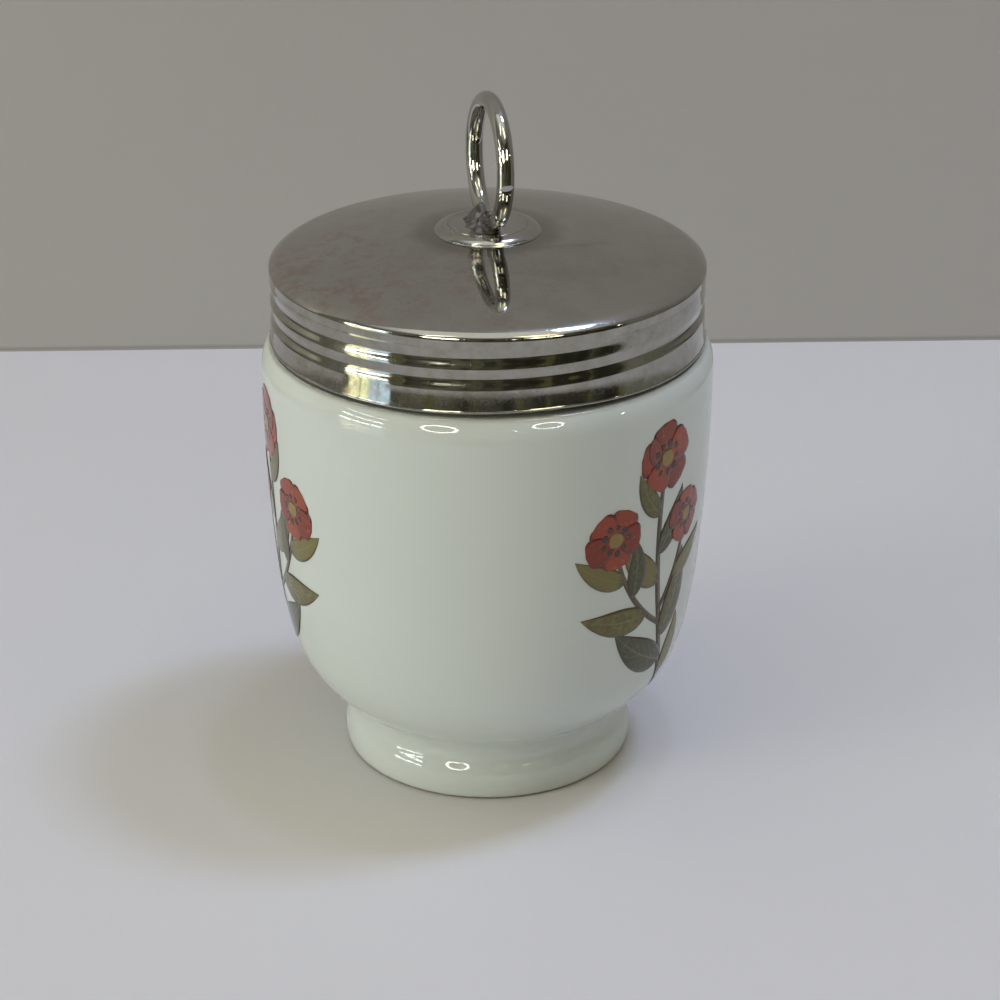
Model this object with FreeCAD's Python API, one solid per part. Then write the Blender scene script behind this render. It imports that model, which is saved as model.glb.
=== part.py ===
# Egg coddler: a footed porcelain cup closed by a screw-on metal lid with a lifting ring.
#
# Sizes are in millimetres. +Z is up, the origin is the centre of the foot, and the lifting
# ring stands in the YZ plane. Outlines of turned pieces are drawn in the XZ plane as pairs
# of radius and height, and angles round the axis are counted from +X towards +Y.
import FreeCAD, Part
import math
import os
from FreeCAD import Vector

# Cup, outside
CUP_R = 31.75              # widest radius, at the top of the side
SHOULDER_Z = 58.6          # height of the widest place
SHOULDER_ARC_R = 9.5       # rounding above the side
SHOULDER_TURN = 25.0       # degrees which that rounding turns through
LEDGE_BEVEL = 0.6          # bevel from the shoulder into the ledge below the neck
SIDE_LEAN = 5.3            # lean of the wall where the long side ends, degrees
HAUNCH_LEAN = 14.1         # lean where the haunch ends
UNDER_LEAN = 62.0          # lean where the bowl meets the foot
HAUNCH_R = 74.8            # radius of the haunch's arc
BOWL_BASE_Z = 8.95         # height where the bowl's underside meets the foot

# Cup, foot
FOOT_R = 21.1              # widest radius of the foot's bead
BASE_STEP = 0.7            # how far the bowl's base stands in from that radius
BEAD_Z = 3.0               # height of that widest place
BEAD_R = 4.5               # radius of the bead's arc
BEAD_TOP_LEAN = 38.5       # degrees up the bead to where the cove starts
FOOT_EDGE = 0.5            # bevels of the standing ring
STANDING_W = 2.2           # width of the flat that stands on the table
RECESS_Z = 4.8             # ceiling of the recess under the foot
RECESS_BEVEL = 1.8         # bevel between the recess's wall and its ceiling

# Cup, inside and neck
WALL = 4.0                 # thickness of the body
FLOOR_RISE = 1.05          # inside bottom over the bowl's base
NECK_STEP = 2.85           # how far the neck stands in from the widest radius
NECK_WALL = 3.2
BORE_BLEND = 8.0           # height over which the bore widens into the belly
CAVITY_LEAN = 5.0          # lean of the inside wall, degrees
CAVITY_ARC_R = 12.0        # rounding from the inside wall into the floor
LIP_BEVEL = 0.9            # bevels of the lip, inside and outside
CUP_THREAD_H = 0.7         # height of the porcelain thread
CUP_THREAD_CREST = 0.6     # width of its ridge at the crest
CUP_THREAD_BASE = 1.8      # and where it leaves the neck
CUP_THREAD_TURNS = 1.3
CUP_THREAD_BACK = 50.0     # degrees which its lower end lies before the lid's

# Lid, one sheet of pressed metal
SHEET = 0.5
THREAD_GAP = 0.16          # between the porcelain thread and the skirt at the rim
SKIRT_FLARE = 0.2          # how much wider the skirt is at its foot
HEM_GAP = 0.45             # free height between the cup's ledge and the hem
HEM_H = 0.75               # sheet folded back on itself at the lower edge
HEM_PROUD = 0.12           # how far the fold stands out of the skirt
HEM_BEVEL = 0.2
SKIRT_H = 9.96             # hem to the start of the rim's rounding
RIM_ROUND = 1.2            # rounding from the skirt to the crown
DOME_R = 105.0             # sphere of the crown
SEAT_GAP = 0.12            # between the cup's lip and the crown

# Rolled thread in the lid's skirt
PITCH = 2.9
THREAD_DEPTH = 0.55
THREAD_CREST = 0.7         # width of the rolled ridge at its crest
THREAD_BASE = 2.0          # and where it leaves the skirt
THREAD_TURNS = 1.53
THREAD_START = 105.0       # angle of the lower end
THREAD_LIFT = 3.6          # height of the lower end over the hem
RUN_OUT = 32.0             # degrees over which a thread fades at each end
RUN_OUT_CLEAR = 0.1        # how far past the wall it has drawn back by then
TOOL_OVERLAP = 0.2         # how far a thread's form reaches through the wall it meets
STEPS_PER_TURN = 20        # points on one turn of a thread's path

# Boss, lifting ring and solder
BOSS_R = 7.45
BOSS_H = 0.9
BOSS_ARC_R = 1.0           # soft shoulder between the boss's side and its top
PAD_MARGIN = 0.3           # flat of the crown beyond the boss
DISH_R = 4.15              # dish in the boss that takes the solder
DISH_DEPTH = 0.75
SOLDER_BED = 0.12          # solder under the wire
TURN_GAP = 0.05            # between the boss and what turns on it
RING_R = 8.4               # centre line of the ring
WIRE_R = 1.2
RING_SHIFT = -0.55         # the ring stands off the axis, in its own plane
WIRE_BUTT = 0.4            # gap between the wire's ends, filled with solder
MOUND_LENGTH = 8.8         # solder drawn up along the wire
MOUND_HEIGHT = 0.9
MOUND_WIDTH = 4.2
MOUND_SHIFT = -0.9         # the mound's middle lies to one side of the wire

# Radii and levels that follow from the sizes above
BOWL_BASE_R = FOOT_R - BASE_STEP
FLOOR_Z = BOWL_BASE_Z + FLOOR_RISE
NECK_R = CUP_R - NECK_STEP
CUP_THREAD_R = NECK_R + CUP_THREAD_H
LID_R = CUP_THREAD_R + THREAD_GAP + SHEET
LEDGE_Z = SHOULDER_Z + SHOULDER_ARC_R * math.sin(math.radians(SHOULDER_TURN)) + LEDGE_BEVEL
HEM_Z = LEDGE_Z + HEM_GAP
SKIRT_TOP_Z = HEM_Z + SKIRT_H
WALL_R = LID_R + SKIRT_FLARE / 2
BORE_R = NECK_R - NECK_WALL
PAD_R = BOSS_R + PAD_MARGIN
DOME_CENTRE_Z = SKIRT_TOP_Z - math.sqrt((DOME_R - RIM_ROUND) ** 2 - (LID_R - RIM_ROUND) ** 2)
PAD_Z = DOME_CENTRE_Z + math.sqrt(DOME_R ** 2 - PAD_R ** 2)
BOSS_TOP_Z = PAD_Z + BOSS_H
DISH_Z = BOSS_TOP_Z - DISH_DEPTH
RING_Z = DISH_Z + TURN_GAP + SOLDER_BED + WIRE_R + RING_R
LIP_R = NECK_R - LIP_BEVEL
RIM_Z = DOME_CENTRE_Z + math.sqrt((DOME_R - SHEET) ** 2 - LIP_R ** 2) - SEAT_GAP

ORIGIN = Vector(0, 0, 0)
UP = Vector(0, 0, 1)


def place(r, z):
    """Point of an outline, from its radius and height."""
    return Vector(r, 0, z)


def arc(centre, radius, start, end):
    """Arc of an outline about a centre, from one angle over the horizontal to another."""
    at = [math.radians(start + (end - start) * k) for k in (0.0, 0.5, 1.0)]
    a, b, c = [centre + Vector(math.cos(t), 0, math.sin(t)) * radius for t in at]
    return Part.Arc(a, b, c).toShape()


def first(edge):
    return edge.valueAt(edge.FirstParameter)


def last(edge):
    return edge.valueAt(edge.LastParameter)


def turned(edges):
    """Solid made by turning a closed outline once round the axis."""
    return Part.Face(Part.Wire(edges)).revolve(ORIGIN, UP, 360)


def solve_pair(a, b, c, d, e, f):
    """x and y of a*x + b*y = e and c*x + d*y = f."""
    det = a * d - b * c
    return (e * d - b * f) / det, (a * f - e * c) / det


def body_arcs():
    """Side, haunch and underside of the bowl, from the shoulder down.

    The three arcs are tangent. The side's and the underside's radii are what brings them
    from the widest place to the top of the foot.
    """
    side, haunch, under = [math.radians(v) for v in (SIDE_LEAN, HAUNCH_LEAN, UNDER_LEAN)]
    drop_r = CUP_R - BOWL_BASE_R - HAUNCH_R * (math.cos(side) - math.cos(haunch))
    drop_z = SHOULDER_Z - BOWL_BASE_Z - HAUNCH_R * (math.sin(haunch) - math.sin(side))
    side_r, under_r = solve_pair(1 - math.cos(side), math.cos(haunch) - math.cos(under),
                                 math.sin(side), math.sin(under) - math.sin(haunch), drop_r, drop_z)
    edges = []
    top = place(CUP_R, SHOULDER_Z)
    for radius, lean, next_lean in ((side_r, 0.0, SIDE_LEAN), (HAUNCH_R, SIDE_LEAN, HAUNCH_LEAN),
                                    (under_r, HAUNCH_LEAN, UNDER_LEAN)):
        out = Vector(math.cos(math.radians(lean)), 0, -math.sin(math.radians(lean)))
        edges.append(arc(top - out * radius, radius, -lean, -next_lean))
        top = last(edges[-1])
    return edges


def lines(*points):
    """Straight edges through a row of points."""
    return [Part.makeLine(a, b) for a, b in zip(points, points[1:])]


def foot_edges(bowl_base):
    """Foot from the bowl's underside down to the standing ring, and the recess under it."""
    lean = math.radians(BEAD_TOP_LEAN)
    bead_mid = place(FOOT_R - BEAD_R, BEAD_Z)
    out = Vector(math.cos(lean), 0, math.sin(lean))
    crest = bead_mid + out * BEAD_R
    chord = bowl_base - crest
    cove_r = chord.dot(chord) / (2 * chord.dot(out))
    cove_mid = crest + out * cove_r
    to_bowl = bowl_base - cove_mid
    cove = arc(cove_mid, cove_r, math.degrees(math.atan2(to_bowl.z, to_bowl.x)), BEAD_TOP_LEAN + 180)
    bead = arc(bead_mid, BEAD_R, BEAD_TOP_LEAN,
               -math.degrees(math.asin((BEAD_Z - FOOT_EDGE) / BEAD_R)))
    edge = last(bead)
    outer = edge.x - FOOT_EDGE
    inner = outer - STANDING_W
    wall = inner - FOOT_EDGE
    return [cove, bead] + lines(edge, place(outer, 0), place(inner, 0), place(wall, FOOT_EDGE),
                                place(wall, RECESS_Z - RECESS_BEVEL),
                                place(wall - RECESS_BEVEL, RECESS_Z), place(0, RECESS_Z))


def cavity_edges():
    """Inside of the cup, from the middle of the floor up to the foot of the bore."""
    belly = place(CUP_R - WALL, SHOULDER_Z - BORE_BLEND)
    bore_foot = place(BORE_R, belly.z + BORE_BLEND)
    lean = math.radians(CAVITY_LEAN)
    corner_top = place(belly.x - (belly.z - FLOOR_Z) * math.tan(lean), FLOOR_Z)
    corner_top += Vector(math.sin(lean), 0, math.cos(lean)) * CAVITY_ARC_R * math.tan(
        (math.pi / 2 - lean) / 2)
    corner_mid = corner_top + Vector(-math.cos(lean), 0, math.sin(lean)) * CAVITY_ARC_R
    corner = arc(corner_mid, CAVITY_ARC_R, -90, -CAVITY_LEAN)
    return (lines(place(0, FLOOR_Z), first(corner)) + [corner]
            + lines(last(corner), belly, bore_foot))


def screw_form(crest_r, crest_w, wall_r, base_w, angle, z, turns):
    """Bar of a screw thread's section, wound on a right-handed screw line.

    The section is crest_w wide at crest_r and base_w wide at wall_r, and reaches a little
    through the wall. Towards both ends the bar draws back behind the wall.
    """
    into_wall = math.copysign(1, wall_r - crest_r)
    depth = abs(wall_r - crest_r)
    through_w = base_w + (base_w - crest_w) * TOOL_OVERLAP / depth
    draw_back = into_wall * (depth + RUN_OUT_CLEAR)
    total = 360.0 * turns
    count = int(math.ceil(STEPS_PER_TURN * turns))
    points = []
    for k in range(count + 1):
        swept = total * k / count
        inside = min(swept, total - swept, RUN_OUT) / RUN_OUT
        r = crest_r + draw_back * (1 - inside * inside * (3 - 2 * inside))
        at = math.radians(angle + swept)
        points.append(Vector(r * math.cos(at), r * math.sin(at), z + PITCH * swept / 360))
    path = Part.BSplineCurve()
    path.interpolate(points)
    start = points[0]
    out = Vector(start.x, start.y, 0).normalize() * into_wall
    reach = out * (depth + TOOL_OVERLAP)
    low, high = UP * (-crest_w / 2), UP * (crest_w / 2)
    far_low, far_high = reach - UP * (through_w / 2), reach + UP * (through_w / 2)
    section = Part.makePolygon([start + p for p in (low, high, far_high, far_low, low)])
    return Part.Wire(path.toShape()).makePipeShell([section], True, True)


def cup():
    """Porcelain cup: foot, bowl, ledge, threaded neck and lip, hollow inside."""
    bowl = body_arcs()
    shoulder = arc(place(CUP_R - SHOULDER_ARC_R, SHOULDER_Z), SHOULDER_ARC_R, SHOULDER_TURN, 0)
    ledge = first(shoulder)
    lip_z = RIM_Z - LIP_BEVEL
    inside = cavity_edges()
    neck = lines(last(inside[-1]), place(BORE_R, lip_z), place(BORE_R + LIP_BEVEL, RIM_Z),
                 place(LIP_R, RIM_Z), place(NECK_R, lip_z), place(NECK_R, LEDGE_Z),
                 place(ledge.x - LEDGE_BEVEL, LEDGE_Z), ledge)
    foot = foot_edges(last(bowl[-1]))
    axis = lines(last(foot[-1]), place(0, FLOOR_Z))
    body = turned(inside + neck + [shoulder] + bowl + foot + axis)
    start = THREAD_START - CUP_THREAD_BACK
    height = HEM_Z + THREAD_LIFT + PITCH / 2 - PITCH * CUP_THREAD_BACK / 360
    ridge = screw_form(CUP_THREAD_R, CUP_THREAD_CREST, NECK_R, CUP_THREAD_BASE, start, height,
                       CUP_THREAD_TURNS)
    return body.fuse(ridge)


def lid_blank(inset):
    """Filled form of the lid down to the hem, moved in by inset, with no thread."""
    dome_mid = place(0, DOME_CENTRE_Z)
    rim_mid = place(LID_R - RIM_ROUND, SKIRT_TOP_Z)
    dome_r = DOME_R - inset
    pad_z = PAD_Z - inset
    rim_angle = math.degrees(math.atan2((rim_mid - dome_mid).z, (rim_mid - dome_mid).x))
    pad_angle = math.degrees(math.asin((pad_z - DOME_CENTRE_Z) / dome_r))
    rim = arc(rim_mid, RIM_ROUND - inset, 0, rim_angle)
    dome = arc(dome_mid, dome_r, rim_angle, pad_angle)
    foot_r = LID_R + SKIRT_FLARE - inset
    if inset:
        hem = [place(foot_r, HEM_Z)]
    else:
        fold_r = foot_r + HEM_PROUD
        fold_z = HEM_Z + HEM_H
        hem = [place(fold_r - HEM_BEVEL, HEM_Z), place(fold_r, HEM_Z + HEM_BEVEL),
               place(fold_r, fold_z - HEM_PROUD), place(foot_r, fold_z)]
    return turned(lines(place(0, pad_z), place(0, HEM_Z), *hem, first(rim)) + [rim, dome]
                  + lines(last(dome), place(0, pad_z)))


def lid_shell():
    """Pressed sheet lid with its rolled screw thread and folded hem."""
    def thread(wall_r):
        return screw_form(wall_r - THREAD_DEPTH, THREAD_CREST, wall_r, THREAD_BASE,
                          THREAD_START, HEM_Z + THREAD_LIFT, THREAD_TURNS)
    outside = lid_blank(0).cut(thread(WALL_R))
    inside = lid_blank(SHEET).cut(thread(WALL_R - SHEET))
    return outside.cut(inside)


def ring_boss():
    """Turned disc on the crown, with a soft shoulder and a shallow dish for the solder."""
    shoulder_mid = place(BOSS_R - BOSS_ARC_R, BOSS_TOP_Z - BOSS_ARC_R)
    foot = math.degrees(math.asin((PAD_Z - shoulder_mid.z) / BOSS_ARC_R))
    shoulder = arc(shoulder_mid, BOSS_ARC_R, foot, 90)
    return turned(lines(place(0, PAD_Z), first(shoulder)) + [shoulder]
                  + lines(last(shoulder), place(DISH_R, BOSS_TOP_Z), place(DISH_R, DISH_Z),
                          place(0, DISH_Z), place(0, PAD_Z)))


def lifting_ring():
    """Round wire bent to a ring, its two ends butted at the bottom."""
    gap = math.degrees(WIRE_BUTT / RING_R)
    middle = Vector(0, RING_SHIFT, RING_Z)
    start = middle + Vector(0, RING_R * math.sin(math.radians(gap / 2)),
                            -RING_R * math.cos(math.radians(gap / 2)))
    along = Vector(0, math.cos(math.radians(gap / 2)), math.sin(math.radians(gap / 2)))
    section = Part.Face(Part.Wire(Part.makeCircle(WIRE_R, start, along)))
    return section.revolve(middle, Vector(1, 0, 0), 360 - gap)


def ring_solder(ring):
    """Solder that fills the boss's dish and is drawn up along the foot of the ring."""
    plug = Part.makeCylinder(DISH_R - TURN_GAP, DISH_DEPTH, place(0, DISH_Z + TURN_GAP), UP)
    flat = Vector(MOUND_SHIFT, 0, BOSS_TOP_Z + TURN_GAP)
    half = Vector(0, MOUND_LENGTH / 2, 0)
    across_r = (MOUND_WIDTH ** 2 / 4 + MOUND_HEIGHT ** 2) / (2 * MOUND_HEIGHT)
    axis = flat - UP * (across_r - MOUND_HEIGHT)
    back = Part.Arc(flat - half, flat + UP * MOUND_HEIGHT, flat + half).toShape()
    section = Part.Wire(lines(axis - half, flat - half) + [back]
                        + lines(flat + half, axis + half, axis - half))
    mound = Part.Face(section).revolve(axis, Vector(0, 1, 0), 360)
    above = Part.makeCylinder(BOSS_R, BOSS_H + MOUND_HEIGHT, place(0, flat.z), UP)
    return plug.fuse(mound.common(above)).removeSplitter().cut(ring)


def main():
    os.makedirs("parts", exist_ok=True)
    ring = lifting_ring()
    pieces = {
        "porcelain_cup": cup(),
        "lid_shell": lid_shell(),
        "ring_boss": ring_boss(),
        "lifting_ring": ring,
        "ring_solder": ring_solder(ring),
    }
    for name, shape in pieces.items():
        print(name, shape.isValid(), len(shape.Solids), round(shape.Volume, 1),
              shape.optimalBoundingBox())
        shape.exportStep("parts/%s.step" % name)


main()
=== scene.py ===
"""Looks for the egg coddler: a footed porcelain cup under a screw-on metal lid with a ring.

Lengths in the classes are millimetres and become metres where a mesh is made. Angles round
the axis are degrees from +X towards +Y. The lifting ring stands in the YZ plane.
"""
import logging
import math
from dataclasses import dataclass, field
from enum import Enum
from typing import Callable, Iterable, Optional, Union

import bpy
from mathutils import Matrix, Vector, noise


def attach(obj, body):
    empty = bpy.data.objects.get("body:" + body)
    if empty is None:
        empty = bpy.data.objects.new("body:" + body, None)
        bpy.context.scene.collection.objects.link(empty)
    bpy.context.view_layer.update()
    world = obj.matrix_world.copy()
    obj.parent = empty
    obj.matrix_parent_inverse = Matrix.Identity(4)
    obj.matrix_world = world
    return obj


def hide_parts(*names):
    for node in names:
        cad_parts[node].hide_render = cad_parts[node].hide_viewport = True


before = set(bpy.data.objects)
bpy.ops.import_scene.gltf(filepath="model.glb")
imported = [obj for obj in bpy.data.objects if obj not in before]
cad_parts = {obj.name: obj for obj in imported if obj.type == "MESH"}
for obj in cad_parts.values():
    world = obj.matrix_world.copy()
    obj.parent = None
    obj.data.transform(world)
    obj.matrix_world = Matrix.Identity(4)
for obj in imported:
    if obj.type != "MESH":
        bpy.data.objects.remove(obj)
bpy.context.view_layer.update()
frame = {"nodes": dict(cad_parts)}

MM = 0.001
TURN = 360.0
HALF_TURN = 180.0
RIGHT_ANGLE = 90.0
VIEW_TURN = -15.0                  # turn of the view about the axis, degrees
FRONT = -RIGHT_ANGLE + VIEW_TURN   # angle round the axis that faces the viewer
EPSILON = 1e-6

log = logging.getLogger("coddler")

Number = Union[int, float]
Point = tuple[float, float]
Colour = tuple[float, float, float]
BLACK: Colour = (0.0, 0.0, 0.0)


class Body(Enum):
    """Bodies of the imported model."""

    CUP = "cup"
    BOSS = "boss"
    LID = "lid"


class Slot(Enum):
    """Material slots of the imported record."""

    PORCELAIN = "porcelain"
    LID = "plated_lid"
    BOSS = "plated_boss"
    WIRE = "plated_wire"
    SOLDER = "solder"


class Motif(Enum):
    """Kinds of printed shape in a spray, in the order of printing."""

    STEM = 0
    LEAF = 1
    PETAL = 2
    BUD = 3
    EYE = 4


def rgba(colour: Colour) -> tuple[float, float, float, float]:
    """Colour with full alpha."""
    return (*colour, 1.0)


def mixed(a: Colour, b: Colour, share: float) -> Colour:
    """Colour between a and b."""
    return tuple(x + (y - x) * share for x, y in zip(a, b))


# --------------------------------------------------------------------------- node graphs


Term = Union["Value", Number]


def joins(operation: str, reflected: bool = False) -> Callable[["Value", Term], "Value"]:
    """Method that joins a Value and one other term in a Math node.

    Args:
        operation: operation of the node.
        reflected: whether the other term comes first.

    Returns:
        The method.
    """
    def method(self: "Value", other: Term) -> "Value":
        """Value of the operation."""
        return self.apply(operation, *((other, self) if reflected else (self, other)))
    return method


def takes(operation: str) -> Callable[["Value"], "Value"]:
    """Method that feeds a Value alone to a Math node.

    Args:
        operation: operation of the node.

    Returns:
        The method.
    """
    def method(self: "Value") -> "Value":
        """Value of the function."""
        return self.apply(operation, self)
    return method


class Value:
    """A socket of a node tree that takes part in arithmetic; its angles are radians."""

    __add__, __radd__ = joins("ADD"), joins("ADD", reflected=True)
    __sub__, __rsub__ = joins("SUBTRACT"), joins("SUBTRACT", reflected=True)
    __mul__, __rmul__ = joins("MULTIPLY"), joins("MULTIPLY", reflected=True)
    __truediv__, __rtruediv__ = joins("DIVIDE"), joins("DIVIDE", reflected=True)
    __pow__ = joins("POWER")
    __abs__ = takes("ABSOLUTE")
    least, most = joins("MINIMUM"), joins("MAXIMUM")
    above = joins("GREATER_THAN")      # 1 where the value is over the other term, else 0
    angle_from = joins("ARCTAN2")      # angle of the point (other term, value)
    cos, sin = takes("COSINE"), takes("SINE")
    arccos, arcsin = takes("ARCCOSINE"), takes("ARCSINE")
    exp, rounded = takes("EXPONENT"), takes("ROUND")

    def __init__(self, graph: "Graph", socket: bpy.types.NodeSocket) -> None:
        """Wrap one output socket of a graph."""
        self.graph = graph
        self.socket = socket

    def apply(self, operation: str, *terms: Term) -> "Value":
        """Value of a Math node fed with the terms in order."""
        return self.graph.value("ShaderNodeMath", 0, {"operation": operation},
                                dict(enumerate(terms)))

    def wrapped(self, top: Number) -> "Value":
        """Remainder between 0 and top."""
        return self.apply("WRAP", self, top, 0.0)

    def ramp(self, low: Number, high: Number) -> "Value":
        """Smooth step from 0 at low to 1 at high; it falls where low is the larger."""
        return self.graph.value("ShaderNodeMapRange", 0, {"interpolation_type": "SMOOTHSTEP"},
                                {"Value": self, "From Min": low, "From Max": high})

    def band(self, low: Number, high: Number, soft: Number) -> "Value":
        """1 between low and high, 0 outside, with soft edges."""
        return self.ramp(low - soft, low + soft) * self.ramp(high + soft, high - soft)


class Graph:
    """Writer of one node tree."""

    def __init__(self, tree: bpy.types.NodeTree) -> None:
        """Start on an empty tree."""
        self.tree = tree

    @classmethod
    def cleared(cls, owner: Union[bpy.types.Material, bpy.types.World]) -> "Graph":
        """Graph on the emptied tree of a material or a world.

        Args:
            owner: the material or world.

        Returns:
            The graph.
        """
        owner.use_nodes = True
        owner.node_tree.nodes.clear()
        return cls(owner.node_tree)

    def node(self, kind: str, settings: Optional[dict] = None,
             inputs: Optional[dict] = None) -> bpy.types.Node:
        """Add a node.

        Args:
            kind: type of the node.
            settings: its properties, set first; the key stops holds a colour ramp's
                positions and colours.
            inputs: values or links of its sockets, by name, identifier or place.

        Returns:
            The new node.
        """
        node = self.tree.nodes.new(kind)
        for name, value in (settings or {}).items():
            if name == "stops":
                self._set_stops(node.color_ramp, value)
            else:
                setattr(node, name, value)
        for key, value in (inputs or {}).items():
            self.feed(node, key, value)
        return node

    @staticmethod
    def _set_stops(ramp: bpy.types.ColorRamp, stops: Iterable[tuple[float, Colour]]) -> None:
        """Give a colour ramp its stops.

        Args:
            ramp: the colour ramp.
            stops: position and colour of each.
        """
        stops = list(stops)
        while len(ramp.elements) < len(stops):
            ramp.elements.new(1.0)
        for element, (position, colour) in zip(ramp.elements, stops):
            element.position = position
            element.color = rgba(colour)

    def feed(self, node: bpy.types.Node, key: Union[str, int], value: object) -> None:
        """Set one input socket of a node, or link it.

        Args:
            node: the node that is fed.
            key: name, identifier or place of the socket.
            value: a Value, a socket, a number or a tuple.
        """
        if isinstance(key, int):
            socket = node.inputs[key]
        else:
            socket = next(s for s in node.inputs if key in (s.identifier, s.name))
        if isinstance(value, Value):
            value = value.socket
        if isinstance(value, bpy.types.NodeSocket):
            self.tree.links.new(value, socket)
        elif socket.type == "RGBA" and len(value) == 3:
            socket.default_value = rgba(value)
        else:
            socket.default_value = value

    def value(self, kind: str, output: Union[str, int], settings: Optional[dict] = None,
              inputs: Optional[dict] = None) -> Value:
        """Add a node and return one of its outputs as a Value."""
        return Value(self, self.node(kind, settings, inputs).outputs[output])

    def vector(self, x: Term = 0.0, y: Term = 0.0, z: Term = 0.0) -> Value:
        """Vector of three parts."""
        return self.value("ShaderNodeCombineXYZ", 0, None, {"X": x, "Y": y, "Z": z})

    def parts(self, vector: Value) -> tuple[Value, Value, Value]:
        """The three parts of a vector."""
        node = self.node("ShaderNodeSeparateXYZ", None, {0: vector})
        return tuple(Value(self, socket) for socket in node.outputs)

    def scaled(self, vector: Value, factors: tuple[float, float, float]) -> Value:
        """Vector with each part multiplied by its own factor."""
        return self.value("ShaderNodeVectorMath", 0, {"operation": "MULTIPLY"},
                          {0: vector, 1: factors})

    def blend(self, share: Term, a: object, b: object) -> Value:
        """Colour that goes from a to b as share goes from 0 to 1."""
        return self.value("ShaderNodeMix", 2, {"data_type": "RGBA"},
                          {"Factor_Float": share, "A_Color": a, "B_Color": b})

    def noise(self, vector: Value, scale: float, detail: float = 2.0,
              roughness: float = 0.5) -> Value:
        """Noise between 0 and 1.

        Args:
            vector: where it is read.
            scale: features per unit of the vector.
            detail: layers of finer noise over the first.
            roughness: strength of each layer beside the one before.

        Returns:
            The noise.
        """
        return self.value("ShaderNodeTexNoise", 0, None,
                          {"Vector": vector, "Scale": scale, "Detail": detail,
                           "Roughness": roughness})

    def cells(self, vector: Value, scale: float) -> Value:
        """Distance to the nearest point of a scatter."""
        return self.value("ShaderNodeTexVoronoi", 0, None, {"Vector": vector, "Scale": scale})


def toward(x: Value, y: Value, degrees: float) -> Value:
    """Distance of the point (x, y) from the axis towards an angle round it.

    Args:
        x: X of the point.
        y: Y of the point.
        degrees: the angle round the axis.

    Returns:
        The distance, negative on the far side.
    """
    at = math.radians(degrees)
    return x * math.cos(at) + y * math.sin(at)


@dataclass(frozen=True)
class Cloud:
    """Patches of noise: 0 where the noise is under low and 1 where it is over high."""

    scale: float
    low: float
    high: float
    detail: float = 2.0
    roughness: float = 0.5

    def mask(self, graph: Graph, place: Value) -> Value:
        """Mask of the patches.

        Args:
            graph: graph that the nodes go in.
            place: where the noise is read.

        Returns:
            Mask between 0 and 1.
        """
        return graph.noise(place, self.scale, self.detail,
                           self.roughness).ramp(self.low, self.high)


class Finish:
    """Base of the finishes: makes the material and hands its graph to the finish's recipe."""

    name: str

    def material(self) -> bpy.types.Material:
        """Make the material.

        Returns:
            Material with a Principled shader dressed by this finish.
        """
        made = bpy.data.materials.new(self.name)
        graph = Graph.cleared(made)
        shader = graph.node("ShaderNodeBsdfPrincipled")
        self.dress(graph, shader)
        graph.node("ShaderNodeOutputMaterial", None, {"Surface": shader.outputs[0]})
        return made

    def dress(self, graph: Graph, shader: bpy.types.Node) -> None:
        """Set and link the shader's sockets."""
        raise NotImplementedError

    @staticmethod
    def millimetres(graph: Graph) -> Value:
        """Object coordinates in millimetres."""
        place = graph.value("ShaderNodeTexCoord", "Object")
        return graph.scaled(place, (1 / MM, 1 / MM, 1 / MM))

    @staticmethod
    def bump(graph: Graph, shader: bpy.types.Node, height: Value, distance: float) -> None:
        """Feed the shader's normal from a height.

        Args:
            graph: graph of the material.
            shader: its shader.
            height: the height, between 0 and 1.
            distance: what a height of 1 stands for, in millimetres.
        """
        normal = graph.value("ShaderNodeBump", 0, None,
                             {"Strength": 1.0, "Distance": distance * MM, "Height": height})
        graph.feed(shader, "Normal", normal)


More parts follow.
